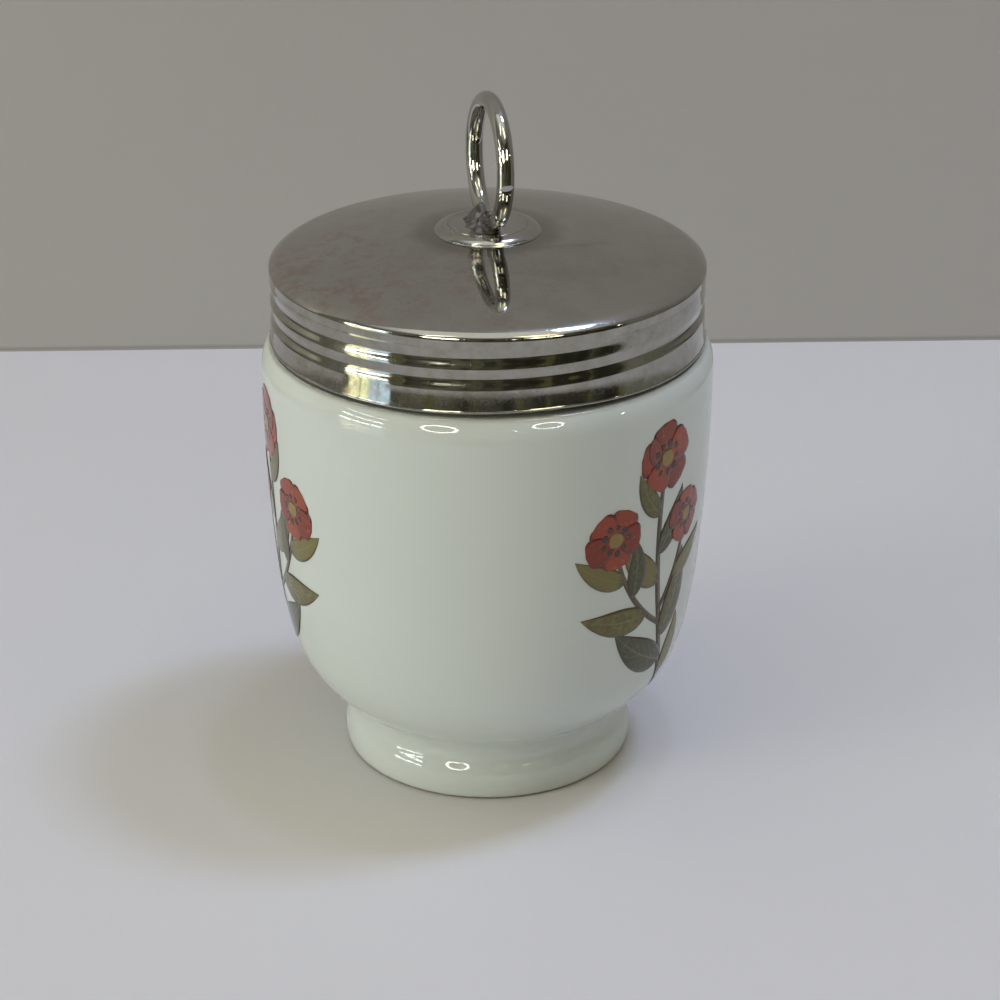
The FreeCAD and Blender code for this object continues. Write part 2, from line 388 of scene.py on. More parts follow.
@dataclass(frozen=True)
class Glaze(Finish):
    """Glossy porcelain glaze with a bare, rough standing ring."""

    name: str = "porcelain_glaze"
    tone: Colour = (0.700, 0.757, 0.700)
    deep_tone: Colour = (0.680, 0.735, 0.680)
    # Painted shade under the lid's hem: its colour, level, band, softness and share.
    painted_hem_shade: Colour = (0.26, 0.25, 0.21)
    painted_hem_shade_z: float = 63.1
    bare_tone: Colour = (0.30, 0.27, 0.21)
    roughness: float = 0.012
    bare_roughness: float = 0.75
    bare_height: float = 0.42
    bare_soft: Point = (0.16, 0.06)
    edge_wander: float = 0.22
    painted_hem_shade_band: float = 1.0
    painted_hem_shade_soft: float = 0.4
    painted_hem_shade_share: float = 0.75
    pinhole_scale: float = 0.11
    pinhole_size: Point = (0.028, 0.016)
    pinhole_share: float = 0.5
    unevenness: float = 0.008
    index: float = 1.5
    wave: float = 0.024

    def dress(self, graph: Graph, shader: bpy.types.Node) -> None:
        """White body with a faint cloud, glaze ripple, pinholes, the bare ring and painted shade
        under the lid's hem.

        Args:
            graph: graph of the material.
            shader: its shader.
        """
        place = self.millimetres(graph)
        height = graph.parts(place)[2]
        ragged = height + graph.noise(place, 0.9, 3.0) * self.edge_wander
        bare = ragged.ramp(*(self.bare_height + soft for soft in self.bare_soft))
        cloud = graph.noise(place, 0.06, 3.0)
        pinholes = graph.cells(place, self.pinhole_scale).ramp(*self.pinhole_size)
        white = graph.blend(cloud, self.tone, self.deep_tone)
        white = graph.blend(pinholes * self.pinhole_share, white,
                            mixed(self.bare_tone, self.tone, 0.3))
        # Painted shade: a dark band just under the lid's hem stands for the shadow in the gap
        # there.
        painted_shade_band = ragged.band(self.painted_hem_shade_z, self.painted_hem_shade_z + self.painted_hem_shade_band,
                           self.painted_hem_shade_soft)
        white = graph.blend(painted_shade_band * self.painted_hem_shade_share, white, self.painted_hem_shade)
        graph.feed(shader, "Base Color", graph.blend(bare, white, self.bare_tone))
        graph.feed(shader, "Roughness",
                   self.roughness + bare * (self.bare_roughness - self.roughness)
                   + graph.noise(place, 0.35, 2.0) * self.unevenness)
        graph.feed(shader, "IOR", self.index)
        graph.feed(shader, "Specular IOR Level", 0.5)
        ripple = graph.noise(place, 0.16, 1.0) + graph.noise(place, 6.0, 1.0) * bare * 3.0
        self.bump(graph, shader, ripple, self.wave)


@dataclass(frozen=True)
class Plate(Finish):
    """Polished plated metal that has been handled, scratched and stained."""

    name: str = "worn_plate"
    tone: Colour = (0.475, 0.465, 0.440)
    stain: Colour = (0.430, 0.335, 0.320)
    tarnish: Colour = (0.220, 0.205, 0.170)
    brown: Colour = (0.315, 0.305, 0.240)
    roughness: float = 0.034
    smudge: float = 0.08
    stain_share: float = 0.0
    # Share and radius of the painted dark ring round the boss, a painted reflection.
    painted_halo_share: float = 0.0
    painted_halo_r: float = 9.4
    speck_share: float = 0.5
    scratch: float = 0.0009
    wave: float = 0.0
    film: float = 0.0
    haze: float = 0.055
    film_top: float = 74.3
    film_least: float = 0.35
    wipe_middle: tuple[float, float] = (2.9, -16.7)
    wipe_sides: tuple[float, float, float] = (5.0, 17.0, 3.0)
    near_wipe: tuple[float, float, float] = (23.4, 24.0, 0.9)
    far_wipe: tuple[float, float, float] = (31.6, 32.6, 1.4)
    stain_turn: float = -66.0
    smudges: Cloud = Cloud(0.13, 0.42, 0.68, 4.0, 0.65)
    grain: Cloud = Cloud(1.6, 0.45, 0.75, 5.0, 0.7)
    specks: Cloud = Cloud(2.3, 0.60, 0.68, 4.0, 0.75)
    speck_fields: Cloud = Cloud(0.22, 0.46, 0.62)
    dullness: Cloud = Cloud(0.10, 0.40, 0.66, 5.0, 0.7)
    film_patches: Cloud = Cloud(0.45, 0.36, 0.70, 5.0, 0.7)
    haze_clouds: Cloud = Cloud(0.24, 0.47, 0.62, 5.0, 0.7)
    stain_clouds: Cloud = Cloud(0.36, 0.46, 0.62, 6.0, 0.74)
    stain_fields: Cloud = Cloud(0.055, 0.35, 0.62)
    hairs: Cloud = Cloud(0.8, 0.70, 0.75, 1.0)
    dull_tone: float = 0.22
    smudge_tone: float = 0.16
    dull_rough: float = 0.35
    smudge_rough: float = 0.4
    stain_rough: float = 0.08
    speck_rough: float = 0.2
    hair_rough: float = 0.10
    stain_height: float = 2.0
    hair_width: float = 0.22
    hair_runs: tuple[tuple[float, float], ...] = ((17.0, 9.0), (76.0, 7.0), (131.0, 11.0))

    def dress(self, graph: Graph, shader: bpy.types.Node) -> None:
        """Metal with smudges, hair scratches, stain clouds and small dark specks.

        Args:
            graph: graph of the material.
            shader: its shader.
        """
        place = self.millimetres(graph)
        smudges = self.smudges.mask(graph, place)
        fine = self.grain.mask(graph, place)
        stain = self._stains(graph, place)
        painted_halo = self._painted_halo(graph, place)
        specks = (self.specks.mask(graph, place) * self.speck_fields.mask(graph, place)
                  * self.speck_share)
        dull = self.dullness.mask(graph, place)
        worn = dull * self.dull_tone + fine * smudges * self.smudge_tone
        metal = graph.blend(worn, self.tone, mixed(self.tone, self.tarnish, 0.8))
        metal = graph.blend(stain, metal, self.stain)
        haze: Term = 0.0
        if self.film:
            metal, haze = self._filmed(graph, place, metal)
        # Painted reflection: a dark ring round the boss.
        metal = graph.blend(painted_halo, metal, self.tarnish)
        metal = graph.blend(specks, metal, self.tarnish)
        graph.feed(shader, "Base Color", metal)
        graph.feed(shader, "Metallic", 1.0)
        hair, hair_height = self._scratches(graph, place)
        graph.feed(shader, "Roughness",
                   self.roughness + smudges * self.smudge * self.smudge_rough
                   + fine * smudges * self.smudge + stain * self.stain_rough
                   + specks * self.speck_rough + hair * self.hair_rough
                   + dull * self.smudge * self.dull_rough + haze)
        height = hair_height + fine * stain * self.stain_height
        if self.wave:
            height = height + graph.noise(place, 0.12, 1.0) * self.wave
        self.bump(graph, shader, height, self.scratch)

    def _filmed(self, graph: Graph, place: Value, metal: Value) -> tuple[Value, Value]:
        """Brown film on the skirt, wiped arcs on the crown, and a crown that is darker towards its
        side away from the viewer.

        Args:
            graph: graph of the material.
            place: place in millimetres.
            metal: colour under the film.

        Returns:
            The colour with the film, and the haze that it adds to the roughness.
        """
        x, y, z = graph.parts(place)
        patch = self.film_patches.mask(graph, place)
        skirt = z.ramp(self.film_top + 0.2, self.film_top - 0.2)
        covered = self.film_least + patch * (1.0 - self.film_least)
        metal = graph.blend(skirt * covered * self.film, metal, self.brown)
        right, near = toward(x, y, VIEW_TURN), toward(x, y, FRONT)
        ragged = (graph.noise(place, 0.5, 4.0) - 0.5) * 2.2
        off_x, off_y = right - self.wipe_middle[0], near - self.wipe_middle[1]
        reach = (off_x * off_x + off_y * off_y) ** 0.5 + ragged
        arc = reach.band(*self.near_wipe).most(reach.band(*self.far_wipe) * 0.6)
        crown = z.above(self.film_top)
        arc = arc * right.band(*self.wipe_sides) * (0.4 + patch * 0.6) * crown
        # The crown grows darker towards its side away from the viewer.
        far_side = near.ramp(4.0, -26.0) * crown
        arcs_and_far_side = (arc * 0.60).most(far_side * (0.16 + patch * 0.20))
        metal = graph.blend(arcs_and_far_side, metal, self.tarnish)
        clouds = self.haze_clouds.mask(graph, graph.scaled(place, (1.0, 1.0, 2.2)))
        return metal, skirt * clouds * self.haze

    def _stains(self, graph: Graph, place: Value) -> Value:
        """Cloudy stain, strongest on one side of the crown.

        Args:
            graph: graph of the material.
            place: place in millimetres.

        Returns:
            Share of the stain.
        """
        x, y, _ = graph.parts(place)
        lean = toward(x, y, FRONT + self.stain_turn).ramp(1.0, 12.0)
        cloud = self.stain_clouds.mask(graph, place)
        return cloud * self.stain_fields.mask(graph, place) * lean * self.stain_share

    def _painted_halo(self, graph: Graph, place: Value) -> Value:
        """Painted dark ring round the boss: a painted reflection of the shallow trough in the
        crown there.

        Args:
            graph: graph of the material.
            place: place in millimetres.

        Returns:
            Share of the painted dark ring.
        """
        x, y, _ = graph.parts(place)
        ragged = (graph.noise(place, 0.35, 4.0, 0.6) - 0.5) * 3.0
        radius = (x * x + y * y) ** 0.5 + ragged
        return radius.ramp(self.painted_halo_r + 2.4, self.painted_halo_r - 1.4) * self.painted_halo_share

    def _scratches(self, graph: Graph, place: Value) -> tuple[Value, Value]:
        """Hair scratches along a few directions.

        Args:
            graph: graph of the material.
            place: place in millimetres.

        Returns:
            Mask and height of the scratches.
        """
        total: Term = 0.0
        for turn, stretch in self.hair_runs:
            turned = graph.value("ShaderNodeMapping", 0, None,
                                 {"Vector": place,
                                  "Rotation": (0.0, math.radians(turn * 0.3),
                                               math.radians(turn)),
                                  "Scale": (stretch, self.hair_width, stretch)})
            total = total + self.hairs.mask(graph, turned)
        return total.least(1.0), 1.0 - total


@dataclass(frozen=True)
class Solder(Finish):
    """Dull grey solder, frozen rough."""

    name: str = "grey_solder"
    tone: Colour = (0.30, 0.285, 0.265)
    dark: Colour = (0.09, 0.085, 0.078)
    skin: float = 0.12

    def dress(self, graph: Graph, shader: bpy.types.Node) -> None:
        """Mottled grey metal with a coarse skin.

        Args:
            graph: graph of the material.
            shader: its shader.
        """
        place = self.millimetres(graph)
        mottle = graph.noise(place, 1.1, 5.0, 0.7)
        graph.feed(shader, "Base Color", graph.blend(mottle.ramp(0.35, 0.7), self.dark, self.tone))
        graph.feed(shader, "Metallic", 0.9)
        graph.feed(shader, "Roughness", 0.34 + mottle * 0.3)
        self.bump(graph, shader, mottle + graph.cells(place, 1.4) * 0.6, self.skin)


@dataclass(frozen=True)
class Ink(Finish):
    """Printed colour under the glaze, shaded along and across each shape.

    The UV map of a printed shape runs along it in U and across it in V; the colour
    attribute tone picks between the two tones.
    """

    name: str
    tone: Colour
    other_tone: Colour
    edge: Colour
    light: Colour
    veins: float = 0.0
    vein_count: float = 7.0
    vein_slant: float = 3.0
    light_share: float = 0.55
    edge_share: float = 0.8
    rib_share: float = 0.6
    roughness: float = 0.10
    unevenness: float = 0.04
    index: float = 1.5

    def dress(self, graph: Graph, shader: bpy.types.Node) -> None:
        """Two tones with darker edges, veins and a brushed light.

        Args:
            graph: graph of the material.
            shader: its shader.
        """
        place = self.millimetres(graph)
        along, across, _ = graph.parts(graph.value("ShaderNodeUVMap", 0, {"uv_map": "motif"}))
        tone = graph.value("ShaderNodeAttribute", "Fac", {"attribute_name": "tone"})
        brushed = graph.noise(place, 1.3, 4.0, 0.65)
        side = abs(across * 2.0 - 1.0)
        base = graph.blend((tone + (brushed - 0.5) * 0.7).ramp(0.25, 0.75),
                           self.tone, self.other_tone)
        lit = brushed.ramp(0.5, 0.8) * side.ramp(1.0, 0.3)
        base = graph.blend(lit * self.light_share, base, self.light)
        border = (side + (brushed - 0.5) * 0.35).ramp(0.72, 1.0)
        ends = (along + (brushed - 0.5) * 0.2).ramp(0.16, 0.0)
        base = graph.blend(border.most(ends) * self.edge_share, base, self.edge)
        if self.veins:
            mid = side.ramp(0.09, 0.03)
            ribs = ((along - side / self.vein_slant) * (self.vein_count * math.tau)).cos()
            ribs = ribs.ramp(0.86, 0.99) * side.ramp(1.0, 0.6) * self.rib_share
            base = graph.blend(mid.most(ribs) * self.veins, base, self.light)
        graph.feed(shader, "Base Color", base)
        graph.feed(shader, "Roughness", self.roughness + brushed * self.unevenness)
        graph.feed(shader, "IOR", self.index)


# ------------------------------------------------------------------------------- outlines


class Outline:
    """Half outline of a turned piece, walked point by point; radius and height in mm."""

    def __init__(self, step: float) -> None:
        """Start empty, with the longest step between points."""
        self.points: list[Point] = []
        self.step = step

    def to(self, r: float, z: float, step: Optional[float] = None) -> "Outline":
        """Straight run to a point, divided into steps.

        Args:
            r: radius of the point.
            z: its height.
            step: longest step, if not the outline's own.

        Returns:
            The outline.
        """
        if not self.points:
            self.points.append((r, z))
            return self
        r0, z0 = self.points[-1]
        run = math.hypot(r - r0, z - z0)
        if run < EPSILON:
            return self
        count = max(1, math.ceil(run / (step or self.step)))
        for k in range(1, count + 1):
            self.points.append((r0 + (r - r0) * k / count, z0 + (z - z0) * k / count))
        return self

    def arc(self, r: float, z: float, radius: float, start: float, end: float,
            step: Optional[float] = None) -> "Outline":
        """Arc about (r, z) between two angles over the horizontal, joined to what is before.

        Args:
            r: radius of the arc's middle.
            z: its height.
            radius: radius of the arc.
            start: angle of its first point, degrees.
            end: angle of its last point.
            step: longest step, if not the outline's own.

        Returns:
            The outline.
        """
        length = radius * abs(math.radians(end - start))
        count = max(3, math.ceil(length / (step or self.step)))
        for k in range(count + 1):
            at = math.radians(start + (end - start) * k / count)
            self.to(r + radius * math.cos(at), z + radius * math.sin(at))
        return self

    def soften(self, r: float, z: float, reach: float, rounds: int) -> None:
        """Even out the outline near a point.

        Args:
            r: radius of the point.
            z: its height.
            reach: how far from it the outline changes.
            rounds: how often each point moves towards the middle of its neighbours.
        """
        here = Vector((r, z))
        for _ in range(rounds):
            before = list(self.points)
            for k in range(1, len(before) - 1):
                share = 1.0 - (Vector(before[k]) - here).length / reach
                if share > 0.0:
                    middle = (Vector(before[k - 1]) + Vector(before[k + 1])) / 2
                    moved = Vector(before[k]).lerp(middle, min(1.0, 2.0 * share))
                    self.points[k] = (moved.x, moved.y)

    def corners(self, rows: Iterable[tuple[float, float, float]],
                step: Optional[float] = None) -> "Outline":
        """Straight runs with each corner rounded.

        Args:
            rows: radius, height and rounding of each corner.
            step: longest step on the runs between them.

        Returns:
            The outline.
        """
        rows = list(rows)
        path = [self.points[-1]] + [(r, z) for r, z, _ in rows]
        for k, (r, z, rounding) in enumerate(rows):
            if rounding == 0.0 or k + 1 >= len(rows):
                self.to(r, z, step)
                continue
            here = Vector((r, z))
            back = (Vector(path[k]) - here).normalized()
            ahead = (Vector(path[k + 2]) - here).normalized()
            half = back.angle(ahead) / 2
            cut = rounding / math.tan(half)
            centre = here + (back + ahead).normalized() * (rounding / math.sin(half))
            one, two = here + back * cut, here + ahead * cut
            self.to(one.x, one.y, step)
            a = math.degrees(math.atan2(one.y - centre.y, one.x - centre.x))
            b = math.degrees(math.atan2(two.y - centre.y, two.x - centre.x))
            b = a + (b - a + HALF_TURN) % TURN - HALF_TURN
            self.arc(centre.x, centre.y, rounding, a, b, rounding / 4)
        return self


def smooth_mesh(name: str, verts: list[Vector], faces: list[tuple[int, ...]]) -> bpy.types.Mesh:
    """Mesh with smooth faces.

    Args:
        name: name of the mesh.
        verts: its points, in metres.
        faces: its faces, as numbers of points.

    Returns:
        The mesh.
    """
    mesh = bpy.data.meshes.new(name)
    mesh.from_pydata(verts, [], faces)
    mesh.shade_smooth()
    mesh.update()
    return mesh


def lathe(name: str, outline: Outline, sides: int) -> bpy.types.Mesh:
    """Mesh turned from an outline that starts and ends on the axis, walked counter-clockwise.

    Args:
        name: name of the mesh.
        outline: half outline; its first and last points lie on the axis.
        sides: columns round the axis.

    Returns:
        Closed mesh with smooth faces and outward normals.
    """
    rows = [p for p in outline.points if p[0] > EPSILON]
    ends = [outline.points[0][1], outline.points[-1][1]]
    verts = [Vector((0, 0, z * MM)) for z in ends]
    for r, z in rows:
        for k in range(sides):
            at = math.tau * k / sides
            verts.append(Vector((r * math.cos(at), r * math.sin(at), z)) * MM)
    faces = []
    top = len(verts) - sides
    for k in range(sides):
        n = (k + 1) % sides
        faces.append((0, 2 + n, 2 + k))
        faces.append((1, top + k, top + n))
        for row in range(len(rows) - 1):
            a = 2 + row * sides
            faces.append((a + k, a + n, a + sides + n, a + sides + k))
    return smooth_mesh(name, verts, faces)


def piece(name: str, mesh: bpy.types.Mesh,
          material: Optional[bpy.types.Material] = None) -> bpy.types.Object:
    """Object at the origin that shows a mesh.

    Args:
        name: name of the object.
        mesh: the mesh.
        material: what the mesh is dressed in, if it isn't dressed yet.

    Returns:
        The object.
    """
    if material:
        mesh.materials.append(material)
    made = bpy.data.objects.new(name, mesh)
    bpy.context.scene.collection.objects.link(made)
    return made


def settle(made: bpy.types.Object, body: Body, slot: Slot, node: Optional[str] = None) -> None:
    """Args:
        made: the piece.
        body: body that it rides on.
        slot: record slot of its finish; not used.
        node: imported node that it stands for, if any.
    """
    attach(made, body.value)
    if node:
        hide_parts(node)
    triangles = sum(len(p.vertices) - 2 for p in made.data.polygons)
    log.info("%s: %d triangles on %s", made.name, triangles, body.value)


# ------------------------------------------------------------------------ geometry recipes


class Recipe:
    """A Geometry Nodes tree with named sizes, applied once and turned into a plain mesh."""

    def __init__(self, name: str, sizes: Iterable[str]) -> None:
        """Start a tree with a geometry input and one number input for each size.

        Args:
            name: name of the tree.
            sizes: names of its sizes.
        """
        self.tree = bpy.data.node_groups.new(name, "GeometryNodeTree")
        face = self.tree.interface
        face.new_socket("Geometry", in_out="INPUT", socket_type="NodeSocketGeometry")
        for label in sizes:
            face.new_socket(label, in_out="INPUT", socket_type="NodeSocketFloat")
        face.new_socket("Geometry", in_out="OUTPUT", socket_type="NodeSocketGeometry")
        self.graph = Graph(self.tree)
        self.entry = self.graph.node("NodeGroupInput")

    def size(self, label: str) -> Value:
        """One named size."""
        return Value(self.graph, self.entry.outputs[label])

    def geometry(self) -> Value:
        """The geometry that comes in."""
        return self.size("Geometry")

    def close(self, geometry: Value, material: bpy.types.Material) -> None:
        """End the tree in Realize Instances, Set Material and the output.

        Args:
            geometry: what the tree has made.
            material: what it is dressed in.
        """
        real = self.graph.value("GeometryNodeRealizeInstances", 0, None, {0: geometry})
        dressed = self.graph.value("GeometryNodeSetMaterial", 0, None,
                                   {"Geometry": real, "Material": material})
        self.graph.node("NodeGroupOutput", None, {0: dressed})

    def make(self, name: str, source: bpy.types.Mesh,
             sizes: dict[str, float]) -> bpy.types.Object:
        """Run the tree on a mesh.

        Args:
            name: name of the piece.
            source: mesh that goes in.
            sizes: value of each named size.

        Returns:
            Object with the plain resulting mesh.
        """
        carrier = piece(name, source)
        modifier = carrier.modifiers.new(self.tree.name, "NODES")
        modifier.node_group = self.tree
        for item in self.tree.interface.items_tree:
            if item.in_out == "INPUT" and item.name in sizes:
                modifier[item.identifier] = float(sizes[item.name])
        graph = bpy.context.evaluated_depsgraph_get()
        mesh = bpy.data.meshes.new_from_object(carrier.evaluated_get(graph))
        carrier.modifiers.remove(modifier)
        carrier.data = mesh
        mesh.name = name
        return carrier


THREAD_SIZES = ("Pitch", "Height", "Width above", "Width below", "Turns", "Start", "Foot",
                "Run out", "Inner", "Dent", "Dent turn", "Dent width", "Dent height", "Hem")


def thread_recipe(material: bpy.types.Material) -> Recipe:
    """Recipe that raises or sinks a right-handed screw thread in a turned wall.

    Height is the thread's height, negative for a groove. Start is the angle of its lower
    end in turns, Foot that end's level and Inner the radius beyond which the wall takes
    part. Dent bends the wall's lower edge, at the level Hem, up round the angle Dent turn.

    Args:
        material: what the wall is dressed in.

    Returns:
        The recipe.
    """
    recipe = Recipe("screw_thread", THREAD_SIZES)
    graph, size = recipe.graph, recipe.size
    place = graph.value("GeometryNodeInputPosition", 0)
    x, y, z = graph.parts(place)
    radius = (x * x + y * y) ** 0.5
    bearing = y.angle_from(x)
    turned = (bearing / math.tau - size("Start")).wrapped(1.0)
    lap = ((z - size("Foot")) / size("Pitch") - turned).rounded().most(0.0)
    swept = turned + lap
    centre = size("Foot") + swept * size("Pitch")
    off_centre = z - centre
    across = (off_centre / size("Width above")).most(off_centre / (0.0 - size("Width below")))
    section = (across.least(0.5) * math.tau).cos() * 0.5 + 0.5
    inside = swept.least(size("Turns") - swept) / size("Run out")
    fade = graph.value("ShaderNodeMapRange", 0, {"interpolation_type": "SMOOTHSTEP"},
                       {"Value": inside})
    lift = section * fade * size("Height") * radius.above(size("Inner"))
    off = (bearing - size("Dent turn")) / size("Dent width").most(EPSILON)
    over = (z - size("Hem")) / size("Dent height").most(EPSILON)
    bent = size("Dent") * (0.0 - off * off).exp() * over.ramp(1.0, 0.0)
    outward = graph.vector(x / radius * lift, y / radius * lift, bent)
    moved = graph.value("GeometryNodeSetPosition", 0, None,
                        {"Geometry": recipe.geometry(), "Offset": outward})
    recipe.close(moved, material)
    return recipe


# ------------------------------------------------------------------------------- the cup


@dataclass
class Cup:
    """Porcelain cup with its foot, hollow, neck and thread."""

    width: float = 63.5
    shoulder_z: float = 59.6
    shoulder_arc: float = 6.0
    shoulder_turn: float = 35.0
    ledge_z: float = 63.215
    side_lean: float = 5.3
    haunch_lean: float = 14.1
    under_lean: float = 62.0
    haunch_arc: float = 74.8
    base_r: float = 20.4
    base_z: float = 8.95
    foot_r: float = 21.1
    bead_z: float = 2.4
    bead_arc: float = 6.0
    bead_top: float = 27.5
    foot_edge: float = 0.55
    foot_in: float = 0.6
    standing: float = 2.2
    recess_z: float = 4.8
    recess_round: float = 1.8
    wall: float = 4.0
    floor_z: float = 10.0
    cavity_lean: float = 5.0
    cavity_arc: float = 12.0
    bore_r: float = 25.7
    bore_blend: float = 8.0
    bore_arc: float = 6.0
    cavity_step: float = 1.5
    ledge_in: float = 0.35
    ledge_arc: float = 0.3
    neck_r: float = 28.9
    rim_z: float = 74.535
    lip_round: float = 0.9
    thread_h: float = 0.7
    thread_w: float = 2.1
    thread_turns: float = 1.3
    thread_start: float = 55.0
    thread_foot: float = 68.31
    sides: int = 224
    step: float = 0.6
    fine_step: float = 0.2
    soft_reach: float = 2.4
    soft_rounds: int = 14

    def _arcs(self, line: Outline) -> None:
        """Underside, haunch and side of the bowl, from the foot up, as three tangent arcs.

        Args:
            line: outline that they are added to.
        """
        side, haunch, under = (math.radians(v) for v in
                               (self.side_lean, self.haunch_lean, self.under_lean))
        top_r = self.width / 2
        # The middle arc's size is set; the other two follow from the fall to the foot.
        drop_r = top_r - self.base_r - self.haunch_arc * (math.cos(side) - math.cos(haunch))
        drop_z = (self.shoulder_z - self.base_z
                  - self.haunch_arc * (math.sin(haunch) - math.sin(side)))
        a, b = 1 - math.cos(side), math.cos(haunch) - math.cos(under)
        c, d = math.sin(side), math.sin(under) - math.sin(haunch)
        side_arc = (drop_r * d - b * drop_z) / (a * d - b * c)
        under_arc = (a * drop_z - drop_r * c) / (a * d - b * c)
        centres = []
        r, z = top_r, self.shoulder_z
        for arc, lean, after in ((side_arc, 0.0, side), (self.haunch_arc, side, haunch),
                                 (under_arc, haunch, under)):
            mid = (r - arc * math.cos(lean), z + arc * math.sin(lean))
            centres.append((*mid, arc, -math.degrees(after), -math.degrees(lean)))
            r, z = mid[0] + arc * math.cos(after), mid[1] - arc * math.sin(after)
        for mid_r, mid_z, arc, start, end in reversed(centres):
            line.arc(mid_r, mid_z, arc, start, end)

    def _foot(self, line: Outline) -> None:
        """Recess, standing ring, bead and cove, from the middle of the underside.

        Args:
            line: outline that they are added to.
        """
        low = -math.degrees(math.asin((self.bead_z - self.foot_edge) / self.bead_arc))
        mid_r = self.foot_r - self.bead_arc
        edge_r = mid_r + self.bead_arc * math.cos(math.radians(low))
        outer = edge_r - self.foot_edge * self.foot_in
        inner = outer - self.standing
        line.to(0.0, self.recess_z).to(4.0, self.recess_z, 1.0)
        line.corners([(inner - self.foot_edge, self.recess_z, self.recess_round),
                      (inner - self.foot_edge, self.foot_edge, 0.2), (inner, 0.0, 0.2),
                      (outer, 0.0, 0.3), (edge_r, self.foot_edge, 0.0)], self.step)
        line.arc(mid_r, self.bead_z, self.bead_arc, low, self.bead_top, 0.5)
        lean = math.radians(self.bead_top)
        out = Vector((math.cos(lean), math.sin(lean)))
        crest = Vector((mid_r, self.bead_z)) + out * self.bead_arc
        base = Vector((self.base_r, self.base_z))
        chord = base - crest
        cove = chord.length_squared / (2 * chord.dot(out))
        centre = crest + out * cove
        back = base - centre
        end = math.degrees(math.atan2(back.y, back.x)) % TURN
        line.arc(centre.x, centre.y, cove, self.bead_top + HALF_TURN, end, 0.35)

    def _mouth(self, line: Outline) -> None:
        """Shoulder, ledge, neck, lip and hollow, up from the side and back to the axis.

        Args:
            line: outline that they are added to.
        """
        top_r = self.width / 2
        line.arc(top_r - self.shoulder_arc, self.shoulder_z, self.shoulder_arc,
                 0.0, self.shoulder_turn, 0.2)
        line.corners([(line.points[-1][0] - self.ledge_in, self.ledge_z, self.ledge_arc),
                      (self.neck_r, self.ledge_z, 0.0)], 0.3)
        line.to(self.neck_r, self.rim_z - self.lip_round, self.fine_step)
        line.arc(self.neck_r - self.lip_round, self.rim_z - self.lip_round, self.lip_round,
                 0.0, RIGHT_ANGLE, 0.25)
        line.to(self.bore_r + self.lip_round, self.rim_z)
        line.arc(self.bore_r + self.lip_round, self.rim_z - self.lip_round, self.lip_round,
                 RIGHT_ANGLE, HALF_TURN, 0.25)
        belly_z = self.shoulder_z - self.bore_blend
        belly_r = top_r - self.wall
        lean = math.radians(self.cavity_lean)
        corner_r = belly_r - (belly_z - self.floor_z) * math.tan(lean)
        line.corners([(self.bore_r, self.shoulder_z, self.bore_arc),
                      (belly_r, belly_z, self.bore_arc),
                      (corner_r, self.floor_z, self.cavity_arc), (0.0, self.floor_z, 0.0)],
                     self.cavity_step)

    def build(self) -> list[bpy.types.Object]:
        """Make the cup and dress it.

        Returns:
            The cup.
        """
        line = Outline(self.step)
        self._foot(line)
        self._arcs(line)
        line.soften(self.base_r, self.base_z, self.soft_reach, self.soft_rounds)
        self._mouth(line)
        recipe = thread_recipe(Glaze().material())
        cup = recipe.make("cup_porcelain", lathe("cup_porcelain", line, self.sides), {
            "Pitch": Lid.pitch * MM, "Height": self.thread_h * MM,
            "Width above": self.thread_w * MM, "Width below": self.thread_w * MM,
            "Turns": self.thread_turns, "Start": self.thread_start / TURN,
            "Foot": self.thread_foot * MM, "Run out": Lid.run_out / TURN,
            "Inner": (self.neck_r - self.lip_round / 2) * MM})
        settle(cup, Body.CUP, Slot.PORCELAIN, "porcelain_cup")
        return [cup]


# ------------------------------------------------------------------------------- the lid


